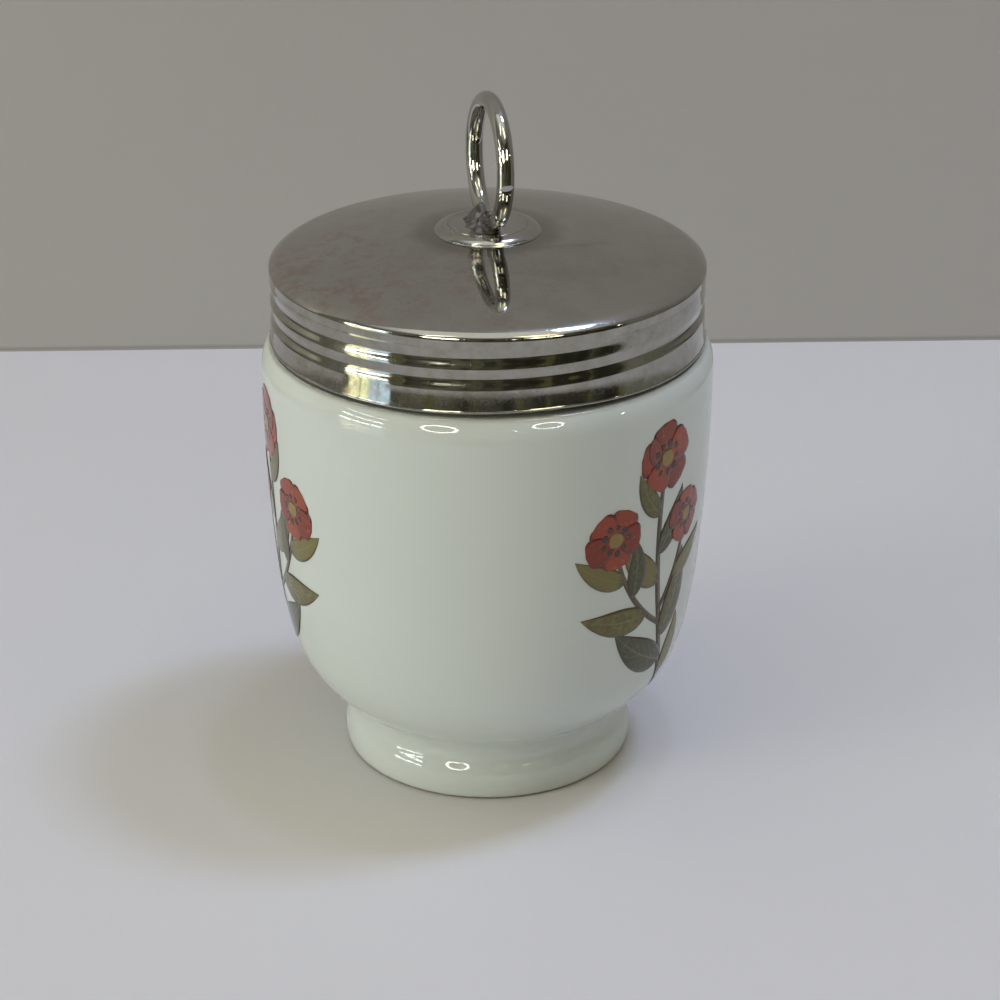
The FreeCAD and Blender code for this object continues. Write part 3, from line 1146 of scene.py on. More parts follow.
@dataclass
class Lid:
    """Pressed metal lid: crown, rim, threaded skirt and folded hem."""

    rim_r: float = 30.34
    waist_r: float = 30.27
    hem_r: float = 30.40
    sheet: float = 0.5
    hem_z: float = 63.665
    hem_h: float = 0.28
    hem_proud: float = 0.09
    hem_rounds: tuple[float, float, float] = (0.15, 0.13, 0.1)
    hem_step: float = 0.08
    bend_z: float = 67.5
    collar_z: float = 72.9
    top_z: float = 73.9
    rim_round: float = 0.8
    rim_turn: float = 50.0
    edge_arc: float = 4.0
    edge_turn: float = 75.6
    pad_r: float = 7.75
    trough_r: float = 9.3
    trough: float = 0.05
    dent: float = 0.36
    dent_turn: float = 17.0
    dent_width: float = 22.0
    dent_height: float = 2.5
    pitch: float = 2.9
    thread_depth: float = 0.29
    thread_above: float = 2.7
    thread_below: float = 3.0
    thread_turns: float = 1.53
    thread_start: float = 105.0
    thread_lift: float = 3.72
    thread_reach: float = 2.0
    run_out: float = 32.0
    sides: int = 288
    step: float = 0.8
    fine_step: float = 0.14

    def _sunk(self, r: float) -> float:
        """Depth of the shallow trough round the boss at a radius."""
        spread = (r - self.trough_r) / (self.trough_r - self.pad_r)
        return self.trough * math.exp(-spread * spread * 1.5) if r > self.pad_r else 0.0

    def _crown(self, line: Outline, inset: float, upward: bool) -> None:
        """Rim, edge and dome at a depth inside the sheet, towards the axis or away from it.

        Args:
            line: outline that they are added to.
            inset: depth inside the sheet.
            upward: whether the outline climbs from the rim to the axis.
        """
        turn, edge = math.radians(self.rim_turn), math.radians(self.edge_turn)
        rim_mid = self.rim_r - self.rim_round
        edge_r = rim_mid - (self.edge_arc - self.rim_round) * math.cos(turn)
        edge_z = self.top_z - (self.edge_arc - self.rim_round) * math.sin(turn)
        start_r = edge_r + self.edge_arc * math.cos(edge)
        dome = start_r / math.cos(edge)
        mid_z = edge_z + self.edge_arc * math.sin(edge) - dome * math.sin(edge)
        pad_at = math.degrees(math.acos(self.pad_r / dome))
        pad_z = mid_z + math.sqrt(dome ** 2 - self.pad_r ** 2) - inset
        arcs = [(rim_mid, self.top_z, self.rim_round - inset, 0.0, self.rim_turn, 0.08),
                (edge_r, edge_z, self.edge_arc - inset, self.rim_turn, self.edge_turn, 0.2),
                (0.0, mid_z, dome - inset, self.edge_turn, pad_at, 1.2)]
        if upward:
            for r, z, radius, low, high, step in arcs:
                line.arc(r, z, radius, low, high, step)
            line.to(0.0, pad_z)
            line.points = [(r, z - self._sunk(r)) for r, z in line.points]
        else:
            line.to(0.0, pad_z).to(self.pad_r, pad_z)
            for r, z, radius, low, high, step in reversed(arcs):
                line.arc(r, z, radius, high, low, 2.0 * step)

    def build(self) -> list[bpy.types.Object]:
        """Make the lid and dress it.

        Returns:
            The lid.
        """
        fold_z = self.hem_z + self.hem_h
        line = Outline(self.step)
        self._crown(line, self.sheet, upward=False)
        line.to(self.waist_r - self.sheet, self.bend_z, self.fine_step * 2)
        line.to(self.hem_r - self.sheet, fold_z, self.fine_step * 2)
        inner, outer, upper = self.hem_rounds
        line.corners([(self.hem_r - self.sheet, self.hem_z, inner),
                      (self.hem_r + self.hem_proud, self.hem_z, outer),
                      (self.hem_r + self.hem_proud, fold_z, upper),
                      (self.hem_r, fold_z + self.hem_step, 0.0)], self.hem_step)
        count = round((self.bend_z - fold_z) / self.fine_step)
        for k in range(1, count + 1):
            share = 1.0 - k / count
            line.to(self.waist_r + (self.hem_r - self.waist_r) * share * share,
                    self.bend_z - (self.bend_z - fold_z - self.hem_step) * share)
        line.to(self.waist_r, self.collar_z, self.fine_step)
        line.to(self.rim_r, self.top_z, self.fine_step)
        self._crown(line, 0.0, upward=True)
        # The lid's finish carries the painted dark ring round the boss.
        finish = Plate(name="lid_plate", stain_share=0.9, painted_halo_share=0.66, wave=6.0,
                       film=0.90)
        recipe = thread_recipe(finish.material())
        lid = recipe.make("lid_sheet", lathe("lid_sheet", line, self.sides), {
            "Pitch": self.pitch * MM, "Height": -self.thread_depth * MM,
            "Width above": self.thread_above * MM,
            "Width below": self.thread_below * MM, "Turns": self.thread_turns,
            "Start": self.thread_start / TURN, "Foot": (self.hem_z + self.thread_lift) * MM,
            "Run out": self.run_out / TURN, "Inner": (self.rim_r - self.thread_reach) * MM,
            "Dent": self.dent * MM, "Dent turn": math.radians(FRONT + self.dent_turn),
            "Dent width": math.radians(self.dent_width), "Hem": self.hem_z * MM,
            "Dent height": self.dent_height * MM})
        settle(lid, Body.LID, Slot.LID, "lid_shell")
        return [lid]


@dataclass
class Boss:
    """Turned disc with a soft shoulder on the crown, which carries the ring."""

    radius: float = 7.37
    foot_r: float = 7.5
    foot_z: float = 78.689
    height: float = 0.9
    crown_arc: float = 1.7
    crown_turn: float = 54.0
    edge_arc: float = 0.3
    dish_r: float = 4.15
    dish: float = 0.75
    dish_edge: float = 0.05
    dish_round: float = 0.1
    sides: int = 160
    step: float = 0.4
    arc_step: float = 0.2
    edge_step: float = 0.06

    def build(self) -> list[bpy.types.Object]:
        """Make the boss and dress it.

        Returns:
            The boss.
        """
        top = self.foot_z + self.height
        turn = math.radians(self.crown_turn)
        edge_r = self.radius - self.edge_arc
        flat_r = edge_r - (self.crown_arc - self.edge_arc) * math.sin(turn)
        edge_z = top - self.crown_arc + (self.crown_arc - self.edge_arc) * math.cos(turn)
        line = Outline(self.step)
        line.to(0.0, self.foot_z).to(self.foot_r, self.foot_z)
        line.to(self.radius, self.foot_z + (self.foot_r - self.radius), 0.05)
        line.arc(edge_r, edge_z, self.edge_arc, 0.0, RIGHT_ANGLE - self.crown_turn,
                 self.edge_step)
        line.arc(flat_r, top - self.crown_arc, self.crown_arc,
                 RIGHT_ANGLE - self.crown_turn, RIGHT_ANGLE, self.arc_step)
        line.corners([(self.dish_r, top, self.dish_edge),
                      (self.dish_r, top - self.dish, self.dish_round),
                      (0.0, top - self.dish, 0.0)], 0.3)
        boss = piece("ring_boss_disc", lathe("ring_boss_disc", line, self.sides),
                     self.plate().material())
        settle(boss, Body.BOSS, Slot.BOSS, "ring_boss")
        return [boss]

    @staticmethod
    def plate() -> Plate:
        """Plating dulled by soldering."""
        # A faint share of the painted dark ring reaches the boss.
        return Plate(name="boss_plate", roughness=0.10, smudge=0.18, painted_halo_share=0.06,
                     wave=4.0)


RING_SIZES = ("Ring radius", "Wire radius", "Opening", "Middle", "Shift", "Lean")


def ring_recipe(material: bpy.types.Material, steps: int = 192, sides: int = 28) -> Recipe:
    """Recipe for a round wire bent to an upright ring that is open at the bottom.

    Args:
        material: what the wire is dressed in.
        steps: steps along the wire.
        sides: sides of the wire.

    Returns:
        The recipe.
    """
    recipe = Recipe("wire_ring", RING_SIZES)
    graph, size = recipe.graph, recipe.size
    path = graph.value("GeometryNodeMeshLine", 0, {"mode": "OFFSET"}, {"Count": steps + 1})
    path = graph.value("GeometryNodeMeshToCurve", 0, None, {0: path})
    share = graph.value("GeometryNodeInputIndex", 0) / float(steps)
    at = size("Opening") / 2.0 + share * (math.tau - size("Opening"))
    y = at.sin() * size("Ring radius") + size("Shift")
    rise = at.cos() * size("Ring radius")
    path = graph.value("GeometryNodeSetPosition", 0, None,
                       {"Geometry": path, "Position": graph.vector(
                           (size("Ring radius") - rise) * size("Lean").sin(), y,
                           size("Middle") - rise * size("Lean").cos())})
    section = graph.value("GeometryNodeCurvePrimitiveCircle", 0, None,
                          {"Resolution": sides, "Radius": size("Wire radius")})
    wire = graph.value("GeometryNodeCurveToMesh", 0, None,
                       {"Curve": path, "Profile Curve": section, "Fill Caps": True})
    wire = graph.value("GeometryNodeSetShadeSmooth", 0, None, {0: wire})
    recipe.close(wire, material)
    return recipe


@dataclass(frozen=True)
class Climb:
    """Place where solder is drawn up along the wire; millimetres."""

    height: float
    middle: Point
    spread: Point

    def at(self, x: float, y: float) -> float:
        """Height of the solder at a point.

        Args:
            x: X of the point.
            y: Y of the point.

        Returns:
            The height that it adds.
        """
        return (self.height * math.exp(-((x - self.middle[0]) / self.spread[0]) ** 2)
                * math.exp(-((y - self.middle[1]) / self.spread[1]) ** 2))


@dataclass
class LiftingRing:
    """Wire ring and the solder at its foot."""

    ring_r: float = 8.4
    wire_r: float = 1.2
    opening: float = 0.4
    middle_z: float = 88.609
    shift: float = -0.55
    lean: float = 0.9
    boss_top: float = 79.589
    bed_r: float = 4.1
    bed_depth: float = 0.7
    bed_round: float = 0.05
    bed_step: float = 0.4
    skin_r: float = 5.6
    skin: tuple[float, float] = (0.0015, 0.005)
    skin_taper: float = 2.2
    lump_half: tuple[float, float] = (2.1, 4.55)
    lump_middle: tuple[float, float] = (-1.0, -0.1)
    lump_height: float = 0.85
    lump_lift: float = 0.03
    climbs: tuple[Climb, ...] = (Climb(1.0, (-0.35, 3.3), (0.9, 1.3)),
                                 Climb(1.7, (-0.5, 1.2), (1.15, 2.2)))
    rings: int = 26
    sides: int = 96

    def _wire(self) -> bpy.types.Object:
        """The ring.

        Returns:
            The finished piece.
        """
        seed = bpy.data.meshes.new("ring_seed")
        recipe = ring_recipe(Plate(name="wire_plate", roughness=0.018, smudge=0.04,
                                   speck_share=0.3).material())
        wire = recipe.make("lifting_ring_wire", seed, {
            "Ring radius": self.ring_r * MM, "Wire radius": self.wire_r * MM,
            "Opening": self.opening / self.ring_r, "Middle": self.middle_z * MM,
            "Shift": self.shift * MM, "Lean": math.radians(self.lean)})
        settle(wire, Body.LID, Slot.WIRE, "lifting_ring")
        return wire

    def _bed(self) -> bpy.types.Object:
        """Solder in the boss's dish, wiped out to a thin skin over the boss.

        Returns:
            The finished piece.
        """
        low, high = (self.boss_top + level for level in self.skin)
        line = Outline(self.bed_step)
        line.to(0.0, self.boss_top - self.bed_depth)
        line.corners([(self.bed_r, self.boss_top - self.bed_depth, self.bed_round),
                      (self.bed_r, low, 0.0), (self.skin_r, low, 0.0),
                      (self.skin_r - self.skin_taper, high, 0.0), (0.0, high, 0.0)], 0.3)
        bed = piece("solder_bed", lathe("solder_bed", line, self.sides),
                    Boss.plate().material())
        settle(bed, Body.LID, Slot.SOLDER, "ring_solder")
        return bed

    def _lump_point(self, at: float, share: float) -> Vector:
        """Point of the lump's upper surface.

        Args:
            at: angle round the lump, in radians.
            share: share of the way from its middle to its edge.

        Returns:
            The point, in millimetres.
        """
        spot = Vector((math.cos(at), math.sin(at), 0.0))
        jag = 1.0 + 0.16 * noise.noise(spot * 2.3 + Vector((4.1, 0.7, 2.0)))
        jag += 0.10 * noise.noise(spot * 6.1 + Vector((1.3, 5.2, 0.4)))
        x = self.lump_middle[0] + self.lump_half[0] * spot.x * jag * share
        y = self.lump_middle[1] + self.lump_half[1] * spot.y * jag * share
        rough = noise.fractal(Vector((x, y, 0.3)) * 0.9, 0.9, 2.1, 4)
        dome = (1.0 - share ** 3) * (0.62 + 0.55 * rough)
        climb = sum(c.at(x, y) for c in self.climbs)
        rise = (self.lump_height * dome + climb) * (1 - share ** 8)
        return Vector((x, y, self.boss_top + self.lump_lift + max(rise, 0.0)))

    def _lump(self) -> bpy.types.Object:
        """Rough lump of solder on one side of the ring, drawn up along the wire.

        Returns:
            The finished piece.
        """
        rows = [[self._lump_point(math.tau * k / self.sides, i / self.rings)
                 for k in range(self.sides)] for i in range(self.rings + 1)]
        top = rows[0][0]
        verts = [Vector((top.x, top.y, sum(v.z for v in rows[0]) / self.sides)),
                 Vector((top.x, top.y, self.boss_top + self.lump_lift / 3))]
        for row in rows[1:]:
            verts.extend(row)
        faces = []
        for k in range(self.sides):
            n = (k + 1) % self.sides
            faces.append((0, 2 + k, 2 + n))
            for i in range(self.rings - 1):
                a = 2 + i * self.sides
                faces.append((a + k, a + self.sides + k, a + self.sides + n, a + n))
            last = 2 + (self.rings - 1) * self.sides
            faces.append((1, last + n, last + k))
        lump = piece("solder_lump", smooth_mesh("solder_lump", [v * MM for v in verts], faces),
                     Solder().material())
        settle(lump, Body.LID, Slot.SOLDER)
        return lump

    def build(self) -> list[bpy.types.Object]:
        """Make the ring and its solder.

        Returns:
            The three pieces.
        """
        return [self._wire(), self._bed(), self._lump()]


# ------------------------------------------------------------------------- printed sprays

MOTIF_SIZES = ("Base curve", "Tip curve", "Lift", "Layer step", "Thickness", "Cup radius")


def motif_recipe(material: bpy.types.Material, cup: bpy.types.Object, steps: int,
                 rows: int) -> Recipe:
    """Recipe that prints one kind of shape on the cup at each point of a layout.

    A layout is flat: X is the way round the cup and Y the height. Its points carry the
    attributes heading, length, width, bend, tone and layer.

    Args:
        material: colour of the shape.
        cup: object that is printed on.
        steps: points along a shape.
        rows: points across it.

    Returns:
        The recipe.
    """
    recipe = Recipe("printed_" + material.name, MOTIF_SIZES)
    graph, size = recipe.graph, recipe.size

    def kept(label: str) -> Value:
        """A number that the layout gives to each shape."""
        return graph.value("GeometryNodeInputNamedAttribute", 0, {"data_type": "FLOAT"},
                           {"Name": label})

    def kept_vector(label: str) -> Value:
        """A vector stored before."""
        return graph.value("GeometryNodeInputNamedAttribute", 0,
                           {"data_type": "FLOAT_VECTOR"}, {"Name": label})

    def store(geometry: Value, label: str, value: Value, kind: str, domain: str) -> Value:
        """Geometry with a value stored under a name.

        Args:
            geometry: the geometry.
            label: the name.
            value: the value.
            kind: its data type.
            domain: what it is stored on.

        Returns:
            The geometry with the value.
        """
        return graph.value("GeometryNodeStoreNamedAttribute", 0,
                           {"data_type": kind, "domain": domain},
                           {"Geometry": geometry, "Name": label, "Value": value})

    place = graph.value("GeometryNodeInputPosition", 0)
    points = store(recipe.geometry(), "origin", place, "FLOAT_VECTOR", "POINT")
    plate = graph.value("GeometryNodeMeshCube", 0, None,
                        {"Size": (1.0, 2.0, 1.0), "Vertices X": steps, "Vertices Y": rows,
                         "Vertices Z": 2})
    plate = store(plate, "spot", place, "FLOAT_VECTOR", "POINT")
    plates = graph.value("GeometryNodeInstanceOnPoints", 0, None,
                         {"Points": points, "Instance": plate})
    plates = graph.value("GeometryNodeRealizeInstances", 0, None, {0: plates})
    along, across, depth = graph.parts(kept_vector("spot"))
    along = (along + 0.5).least(1.0 - EPSILON).most(EPSILON)
    base, tip = size("Base curve"), size("Tip curve")
    peak = base / (base + tip)
    shape = (along ** base * (1.0 - along) ** tip) / (peak ** base * (1.0 - peak) ** tip)
    turn = kept("bend") * along
    arc = kept("length") / kept("bend")
    off = across * shape * kept("width") * 0.5
    x = arc * turn.sin() - off * turn.sin()
    y = arc * (1.0 - turn.cos()) + off * turn.cos()
    heading = kept("heading")
    start_x, start_y, _ = graph.parts(kept_vector("origin"))
    round_way = start_x + x * heading.cos() - y * heading.sin()
    up_way = start_y + x * heading.sin() + y * heading.cos()
    at = round_way / size("Cup radius")
    outside = size("Cup radius") * 2.0
    target = graph.value("GeometryNodeObjectInfo", "Geometry", None, {"Object": cup})
    ray = graph.node("GeometryNodeRaycast", None, {
        "Target Geometry": target,
        "Source Position": graph.vector(at.cos() * outside, at.sin() * outside, up_way),
        "Ray Direction": graph.vector(0.0 - at.cos(), 0.0 - at.sin(), 0.0),
        "Ray Length": outside})
    level = size("Lift") + kept("layer") * size("Layer step") + depth * size("Thickness")
    raised = graph.value("ShaderNodeVectorMath", 0, {"operation": "SCALE"},
                         {0: ray.outputs["Hit Normal"], "Scale": level})
    landed = graph.value("ShaderNodeVectorMath", 0, {"operation": "ADD"},
                         {0: ray.outputs["Hit Position"], 1: raised})
    printed = graph.value("GeometryNodeSetPosition", 0, None,
                          {"Geometry": plates, "Position": landed})
    printed = store(printed, "motif", graph.vector(along, across * 0.5 + 0.5, 0.0),
                    "FLOAT2", "CORNER")
    printed = graph.value("GeometryNodeMergeByDistance", 0, None,
                          {"Geometry": printed, "Distance": 3.0 * EPSILON})
    printed = graph.value("GeometryNodeSetShadeSmooth", 0, None, {0: printed})
    for label in ("spot", "origin"):
        printed = graph.value("GeometryNodeRemoveAttribute", 0, None,
                              {"Geometry": printed, "Name": label})
    recipe.close(printed, material)
    return recipe


@dataclass
class Mark:
    """One printed shape of a layout; lengths in mm and angles in degrees."""

    kind: Motif
    x: float
    y: float
    heading: float
    length: float
    width: float
    bend: float = 1.0
    tone: float = 0.5
    layer: float = 0.0

    def at(self, share: float) -> tuple[float, float, float]:
        """Place and heading at a share of the way along the shape's middle line.

        Args:
            share: the share, from 0 to 1.

        Returns:
            X, Y and heading.
        """
        turn = math.radians(self.bend) * share
        arc = self.length / math.radians(self.bend)
        along, aside = arc * math.sin(turn), arc * (1 - math.cos(turn))
        c, s = math.cos(math.radians(self.heading)), math.sin(math.radians(self.heading))
        return (self.x + along * c - aside * s, self.y + along * s + aside * c,
                self.heading + self.bend * share)


@dataclass
class Spray:
    """A printed spray: stems, lance leaves, five-petal flowers and buds."""

    mirrored: bool = False
    low: float = 14.5
    scale: float = 1.16
    marks: list[Mark] = field(default_factory=list)
    main_leaves: tuple[tuple[float, int, float, float], ...] = (
        (0.07, -1, 9.0, 0.7), (0.16, 1, 12.5, 0.2), (0.27, -1, 12.0, 0.45),
        (0.52, 1, 10.0, 0.75), (0.63, -1, 9.0, 0.25), (0.78, 1, 7.5, 0.5))
    left_leaves: tuple[tuple[float, int, float, float], ...] = (
        (0.22, 1, 10.5, 0.55), (0.46, -1, 8.0, 0.3), (0.62, 1, 8.5, 0.8))
    petals: int = 5
    stamens: int = 9
    flower_at: float = 0.985

    def _stem(self, x: float, y: float, heading: float, length: float, bend: float,
              width: float = 0.75) -> Mark:
        """Add a stem and return it.

        Args:
            x: X of its foot.
            y: Y of its foot.
            heading: way that it sets out.
            length: its length.
            bend: how far it turns on the way.
            width: its width.

        Returns:
            The stem.
        """
        stem = Mark(Motif.STEM, x, y, heading, length, width, bend, 0.4)
        self.marks.append(stem)
        return stem

    def _leaf(self, stem: Mark, share: float, side: int, length: float, tilt: float = 48.0,
              slim: float = 0.36, tone: float = 0.4, layer: float = 0.0) -> None:
        """Add a leaf to a stem, on its left for side 1 or its right for side -1.

        Args:
            stem: the stem.
            share: place along the stem, from 0 to 1.
            side: 1 for the left, -1 for the right.
            length: length of the leaf.
            tilt: angle from the stem.
            slim: width as a share of the length.
            tone: mix of its two tones.
            layer: height in the stack of prints.
        """
        x, y, heading = stem.at(share)
        self.marks.append(Mark(Motif.LEAF, x, y, heading + side * tilt, length,
                               length * slim, -side * 30.0, tone, layer))

    def _flower(self, x: float, y: float, radius: float, phase: float, layer: float) -> None:
        """Add five petals, an eye and its stamens.

        Args:
            x: X of the middle.
            y: Y of the middle.
            radius: length of a petal.
            phase: heading of the first petal.
            layer: height in the stack of prints.
        """
        for k in range(self.petals):
            heading = phase + k * TURN / self.petals
            reach = radius * (1.0 + 0.07 * math.sin(2.1 * k + phase))
            self.marks.append(Mark(Motif.PETAL, x, y, heading, reach, radius * 1.02,
                                   9.0 * math.sin(1.7 * k + 1.0) + 0.5,
                                   0.5 + 0.35 * math.sin(2.4 * k + phase),
                                   layer + (k * 2) % self.petals))
        eye = radius * 0.27
        self.marks.append(Mark(Motif.EYE, x - eye, y, 0.0, eye * 2, eye * 2, 1.0, 0.8,
                               layer + 6))
        for k in range(self.stamens):
            at = math.radians(phase + (k + 0.5) * TURN / self.stamens)
            dot = radius * (0.085 + 0.015 * (k % 3))
            away = radius * (0.40 + 0.05 * (k % 2))
            self.marks.append(Mark(Motif.EYE, x + away * math.cos(at) - dot,
                                   y + away * math.sin(at), 0.0, dot * 2, dot * 2, 1.0,
                                   0.15, layer + 7))

    def _bud(self, stem: Mark, share: float, side: int, size: float, tone: float) -> None:
        """Add a bud on a short stalk.

        Args:
            stem: stem that it grows from.
            share: place along the stem, from 0 to 1.
            side: 1 for the left, -1 for the right.
            size: size of the bud.
            tone: mix of its two tones.
        """
        x, y, heading = stem.at(share)
        stalk = self._stem(x, y, heading + side * 42.0, size * 1.5, -side * 30.0, 0.5)
        x, y, heading = stalk.at(0.9)
        self.marks.append(Mark(Motif.LEAF, x, y, heading + 24.0, size * 0.9, size * 0.32,
                               -12.0, 0.7, 1.0))
        self.marks.append(Mark(Motif.LEAF, x, y, heading - 24.0, size * 0.9, size * 0.32,
                               12.0, 0.3, 2.0))
        self.marks.append(Mark(Motif.BUD, x, y, heading, size * 1.35, size * 0.86, 4.0,
                               tone, 3.0))

    def compose(self) -> list[Mark]:
        """Draw the spray, with its middle at X = 0.

        Returns:
            All its marks.
        """
        low = self.low
        main = self._stem(7.0, low, 118.0, 35.0, -38.0, 0.95)
        left = self._stem(*main.at(0.34)[:2], 148.0, 17.5, -52.0)
        right = self._stem(*main.at(0.40)[:2], 52.0, 12.5, 34.0)
        for share, side, length, tone in self.main_leaves:
            self._leaf(main, share, side, length, tone=tone, layer=side + 2.0)
        for share, side, length, tone in self.left_leaves:
            self._leaf(left, share, side, length, tone=tone, layer=side + 5.0)
        self._leaf(right, 0.35, -1, 8.5, tone=0.65, layer=8.0)
        self._bud(main, 0.88, 1, 2.7, 0.6)
        self._bud(left, 0.80, 1, 2.4, 0.3)
        self._bud(right, 0.72, 1, 2.2, 0.8)
        for stem, radius, phase, layer in ((main, 4.4, 95.0, 0.0), (left, 4.0, 60.0, 9.0),
                                           (right, 3.6, 22.0, 18.0)):
            x, y, _ = stem.at(self.flower_at)
            self._flower(x, y, radius, phase, layer)
        for mark in self.marks:
            mark.x, mark.y = mark.x * self.scale, low + (mark.y - low) * self.scale
            mark.length, mark.width = mark.length * self.scale, mark.width * self.scale
        if self.mirrored:
            for mark in self.marks:
                mark.x, mark.heading, mark.bend = -mark.x, HALF_TURN - mark.heading, -mark.bend
        return self.marks


@dataclass
class Print:
    """The printed sprays round the cup, one piece for each kind of shape."""

    cup: bpy.types.Object
    cup_r: float = 31.3
    thickness: float = 0.05
    layer_step: float = 0.0016
    turns: tuple[tuple[float, bool], ...] = ((47.0, False), (-72.0, True), (167.0, False))

    def _inks(self) -> dict[Motif, tuple[Ink, float, float, float, int, int]]:
        """Inks of the kinds of shape.

        Returns:
            Ink, base curve, tip curve, lift, steps and rows of each kind.
        """
        leaf = Ink("leaf_ink", (0.060, 0.066, 0.026), (0.190, 0.165, 0.040),
                   (0.075, 0.040, 0.022), (0.235, 0.215, 0.085), veins=0.55)
        petal = Ink("petal_ink", (0.330, 0.052, 0.014), (0.225, 0.030, 0.010),
                    (0.085, 0.016, 0.008), (0.520, 0.170, 0.060))
        bud = Ink("bud_ink", (0.150, 0.035, 0.045), (0.250, 0.050, 0.030),
                  (0.050, 0.014, 0.016), (0.380, 0.150, 0.130))
        eye = Ink("eye_ink", (0.060, 0.035, 0.020), (0.300, 0.200, 0.050),
                  (0.040, 0.022, 0.012), (0.400, 0.300, 0.110))
        stem = Ink("stem_ink", (0.085, 0.075, 0.030), (0.150, 0.110, 0.045),
                   (0.060, 0.040, 0.022), (0.200, 0.180, 0.080))
        return {Motif.STEM: (stem, 0.02, 0.20, 0.028, 40, 3),
                Motif.LEAF: (leaf, 0.62, 1.05, 0.036, 30, 9),
                Motif.PETAL: (petal, 0.80, 0.36, 0.046, 18, 11),
                Motif.BUD: (bud, 0.50, 0.62, 0.048, 16, 9),
                Motif.EYE: (eye, 0.50, 0.50, 0.056, 10, 7)}

    def _layout(self, kind: Motif) -> bpy.types.Mesh:
        """Flat layout of every mark of one kind, with its attributes.

        Args:
            kind: the kind of shape.

        Returns:
            Mesh of single points.
        """
        rows = []
        for turn, mirrored in self.turns:
            start = math.radians(FRONT + turn) * self.cup_r
            for mark in Spray(mirrored).compose():
                if mark.kind is kind:
                    rows.append((mark, start + mark.x))
        mesh = bpy.data.meshes.new("layout_" + kind.name.lower())
        mesh.from_pydata([(x * MM, mark.y * MM, 0.0) for mark, x in rows], [], [])
        values: dict[str, Callable[[Mark], float]] = {
            "heading": lambda m: math.radians(m.heading), "length": lambda m: m.length * MM,
            "width": lambda m: m.width * MM, "bend": lambda m: math.radians(m.bend),
            "tone": lambda m: m.tone, "layer": lambda m: m.layer}
        for label, read in values.items():
            column = mesh.attributes.new(label, "FLOAT", "POINT")
            column.data.foreach_set("value", [read(mark) for mark, _ in rows])
        return mesh

    def build(self) -> list[bpy.types.Object]:
        """Print every kind of shape.

        Returns:
            The printed pieces.
        """
        pieces = []
        for kind, (ink, base, tip, lift, steps, rows) in self._inks().items():
            recipe = motif_recipe(ink.material(), self.cup, steps, rows)
            printed = recipe.make("print_" + kind.name.lower(), self._layout(kind), {
                "Base curve": base, "Tip curve": tip, "Lift": lift * MM,
                "Layer step": self.layer_step * MM, "Thickness": self.thickness * MM,
                "Cup radius": self.cup_r * MM})
            settle(printed, Body.CUP, Slot.PORCELAIN)
            pieces.append(printed)
        return pieces


# ---------------------------------------------------------------------- floor, light, view


Band = tuple[float, float, float]      # low end, high end and softness


def aim(azimuth: float, elevation: float) -> Vector:
    """Unit direction in the room.

    Args:
        azimuth: degrees round the axis from the viewer, positive to the right.
        elevation: degrees over the floor.

    Returns:
        The direction.
    """
    at, up = math.radians(FRONT + azimuth), math.radians(elevation)
    return Vector((math.cos(at) * math.cos(up), math.sin(at) * math.cos(up), math.sin(up)))


def bearing_of(x: Value, y: Value) -> Value:
    """Degrees of a direction round the axis, from the viewer and positive to the right.

    Args:
        x: X of the direction.
        y: Y of the direction.

    Returns:
        The bearing.
    """
    return toward(x, y, VIEW_TURN).angle_from(toward(x, y, FRONT)) * (HALF_TURN / math.pi)


@dataclass(frozen=True)
class Lamp:
    """Round soft lamp aimed at the object; lengths in metres and angles in degrees."""

    name: str
    azimuth: float
    elevation: float
    distance: float
    size: float
    power: float
    colour: Colour
    glossy: bool = False
    aimed_at: float = 0.03

    def build(self) -> None:
        """Hang the lamp."""
        data = bpy.data.lights.new(self.name, "AREA")
        data.shape = "DISK"
        data.size = self.size
        data.energy = self.power
        data.color = self.colour
        lamp = bpy.data.objects.new(self.name, data)
        away = aim(self.azimuth, self.elevation)
        lamp.location = away * self.distance + Vector((0, 0, self.aimed_at))
        lamp.rotation_euler = away.to_track_quat("Z", "Y").to_euler()
        lamp.visible_glossy = self.glossy
        bpy.context.scene.collection.objects.link(lamp)


@dataclass(frozen=True)
class Patch:
    """Soft-edged patch of the reflected room, by bearing and height in degrees."""

    bearings: Band
    heights: Band
    colour: Colour

    def mask(self, bearing: Value, height: Value) -> Value:
        """1 inside the patch and 0 outside."""
        return bearing.band(*self.bearings) * height.band(*self.heights)


@dataclass(frozen=True)
class RoundLight:
    """Ring or disc of light in the reflected room; angles in degrees."""

    azimuth: float
    elevation: float
    inner: float
    outer: float
    share: float = 1.0
    soft: float = 0.3

    def mask(self, graph: Graph, direction: Value) -> Value:
        """Mask of the light.

        Args:
            graph: graph of the world.
            direction: direction that is looked in.

        Returns:
            Its share in the light, 0 outside.
        """
        near = graph.value("ShaderNodeVectorMath", "Value", {"operation": "DOT_PRODUCT"},
                           {0: direction, 1: tuple(aim(self.azimuth, self.elevation))})
        angle = near.least(1.0).arccos() * (HALF_TURN / math.pi)
        return angle.band(self.inner, self.outer, self.soft) * self.share


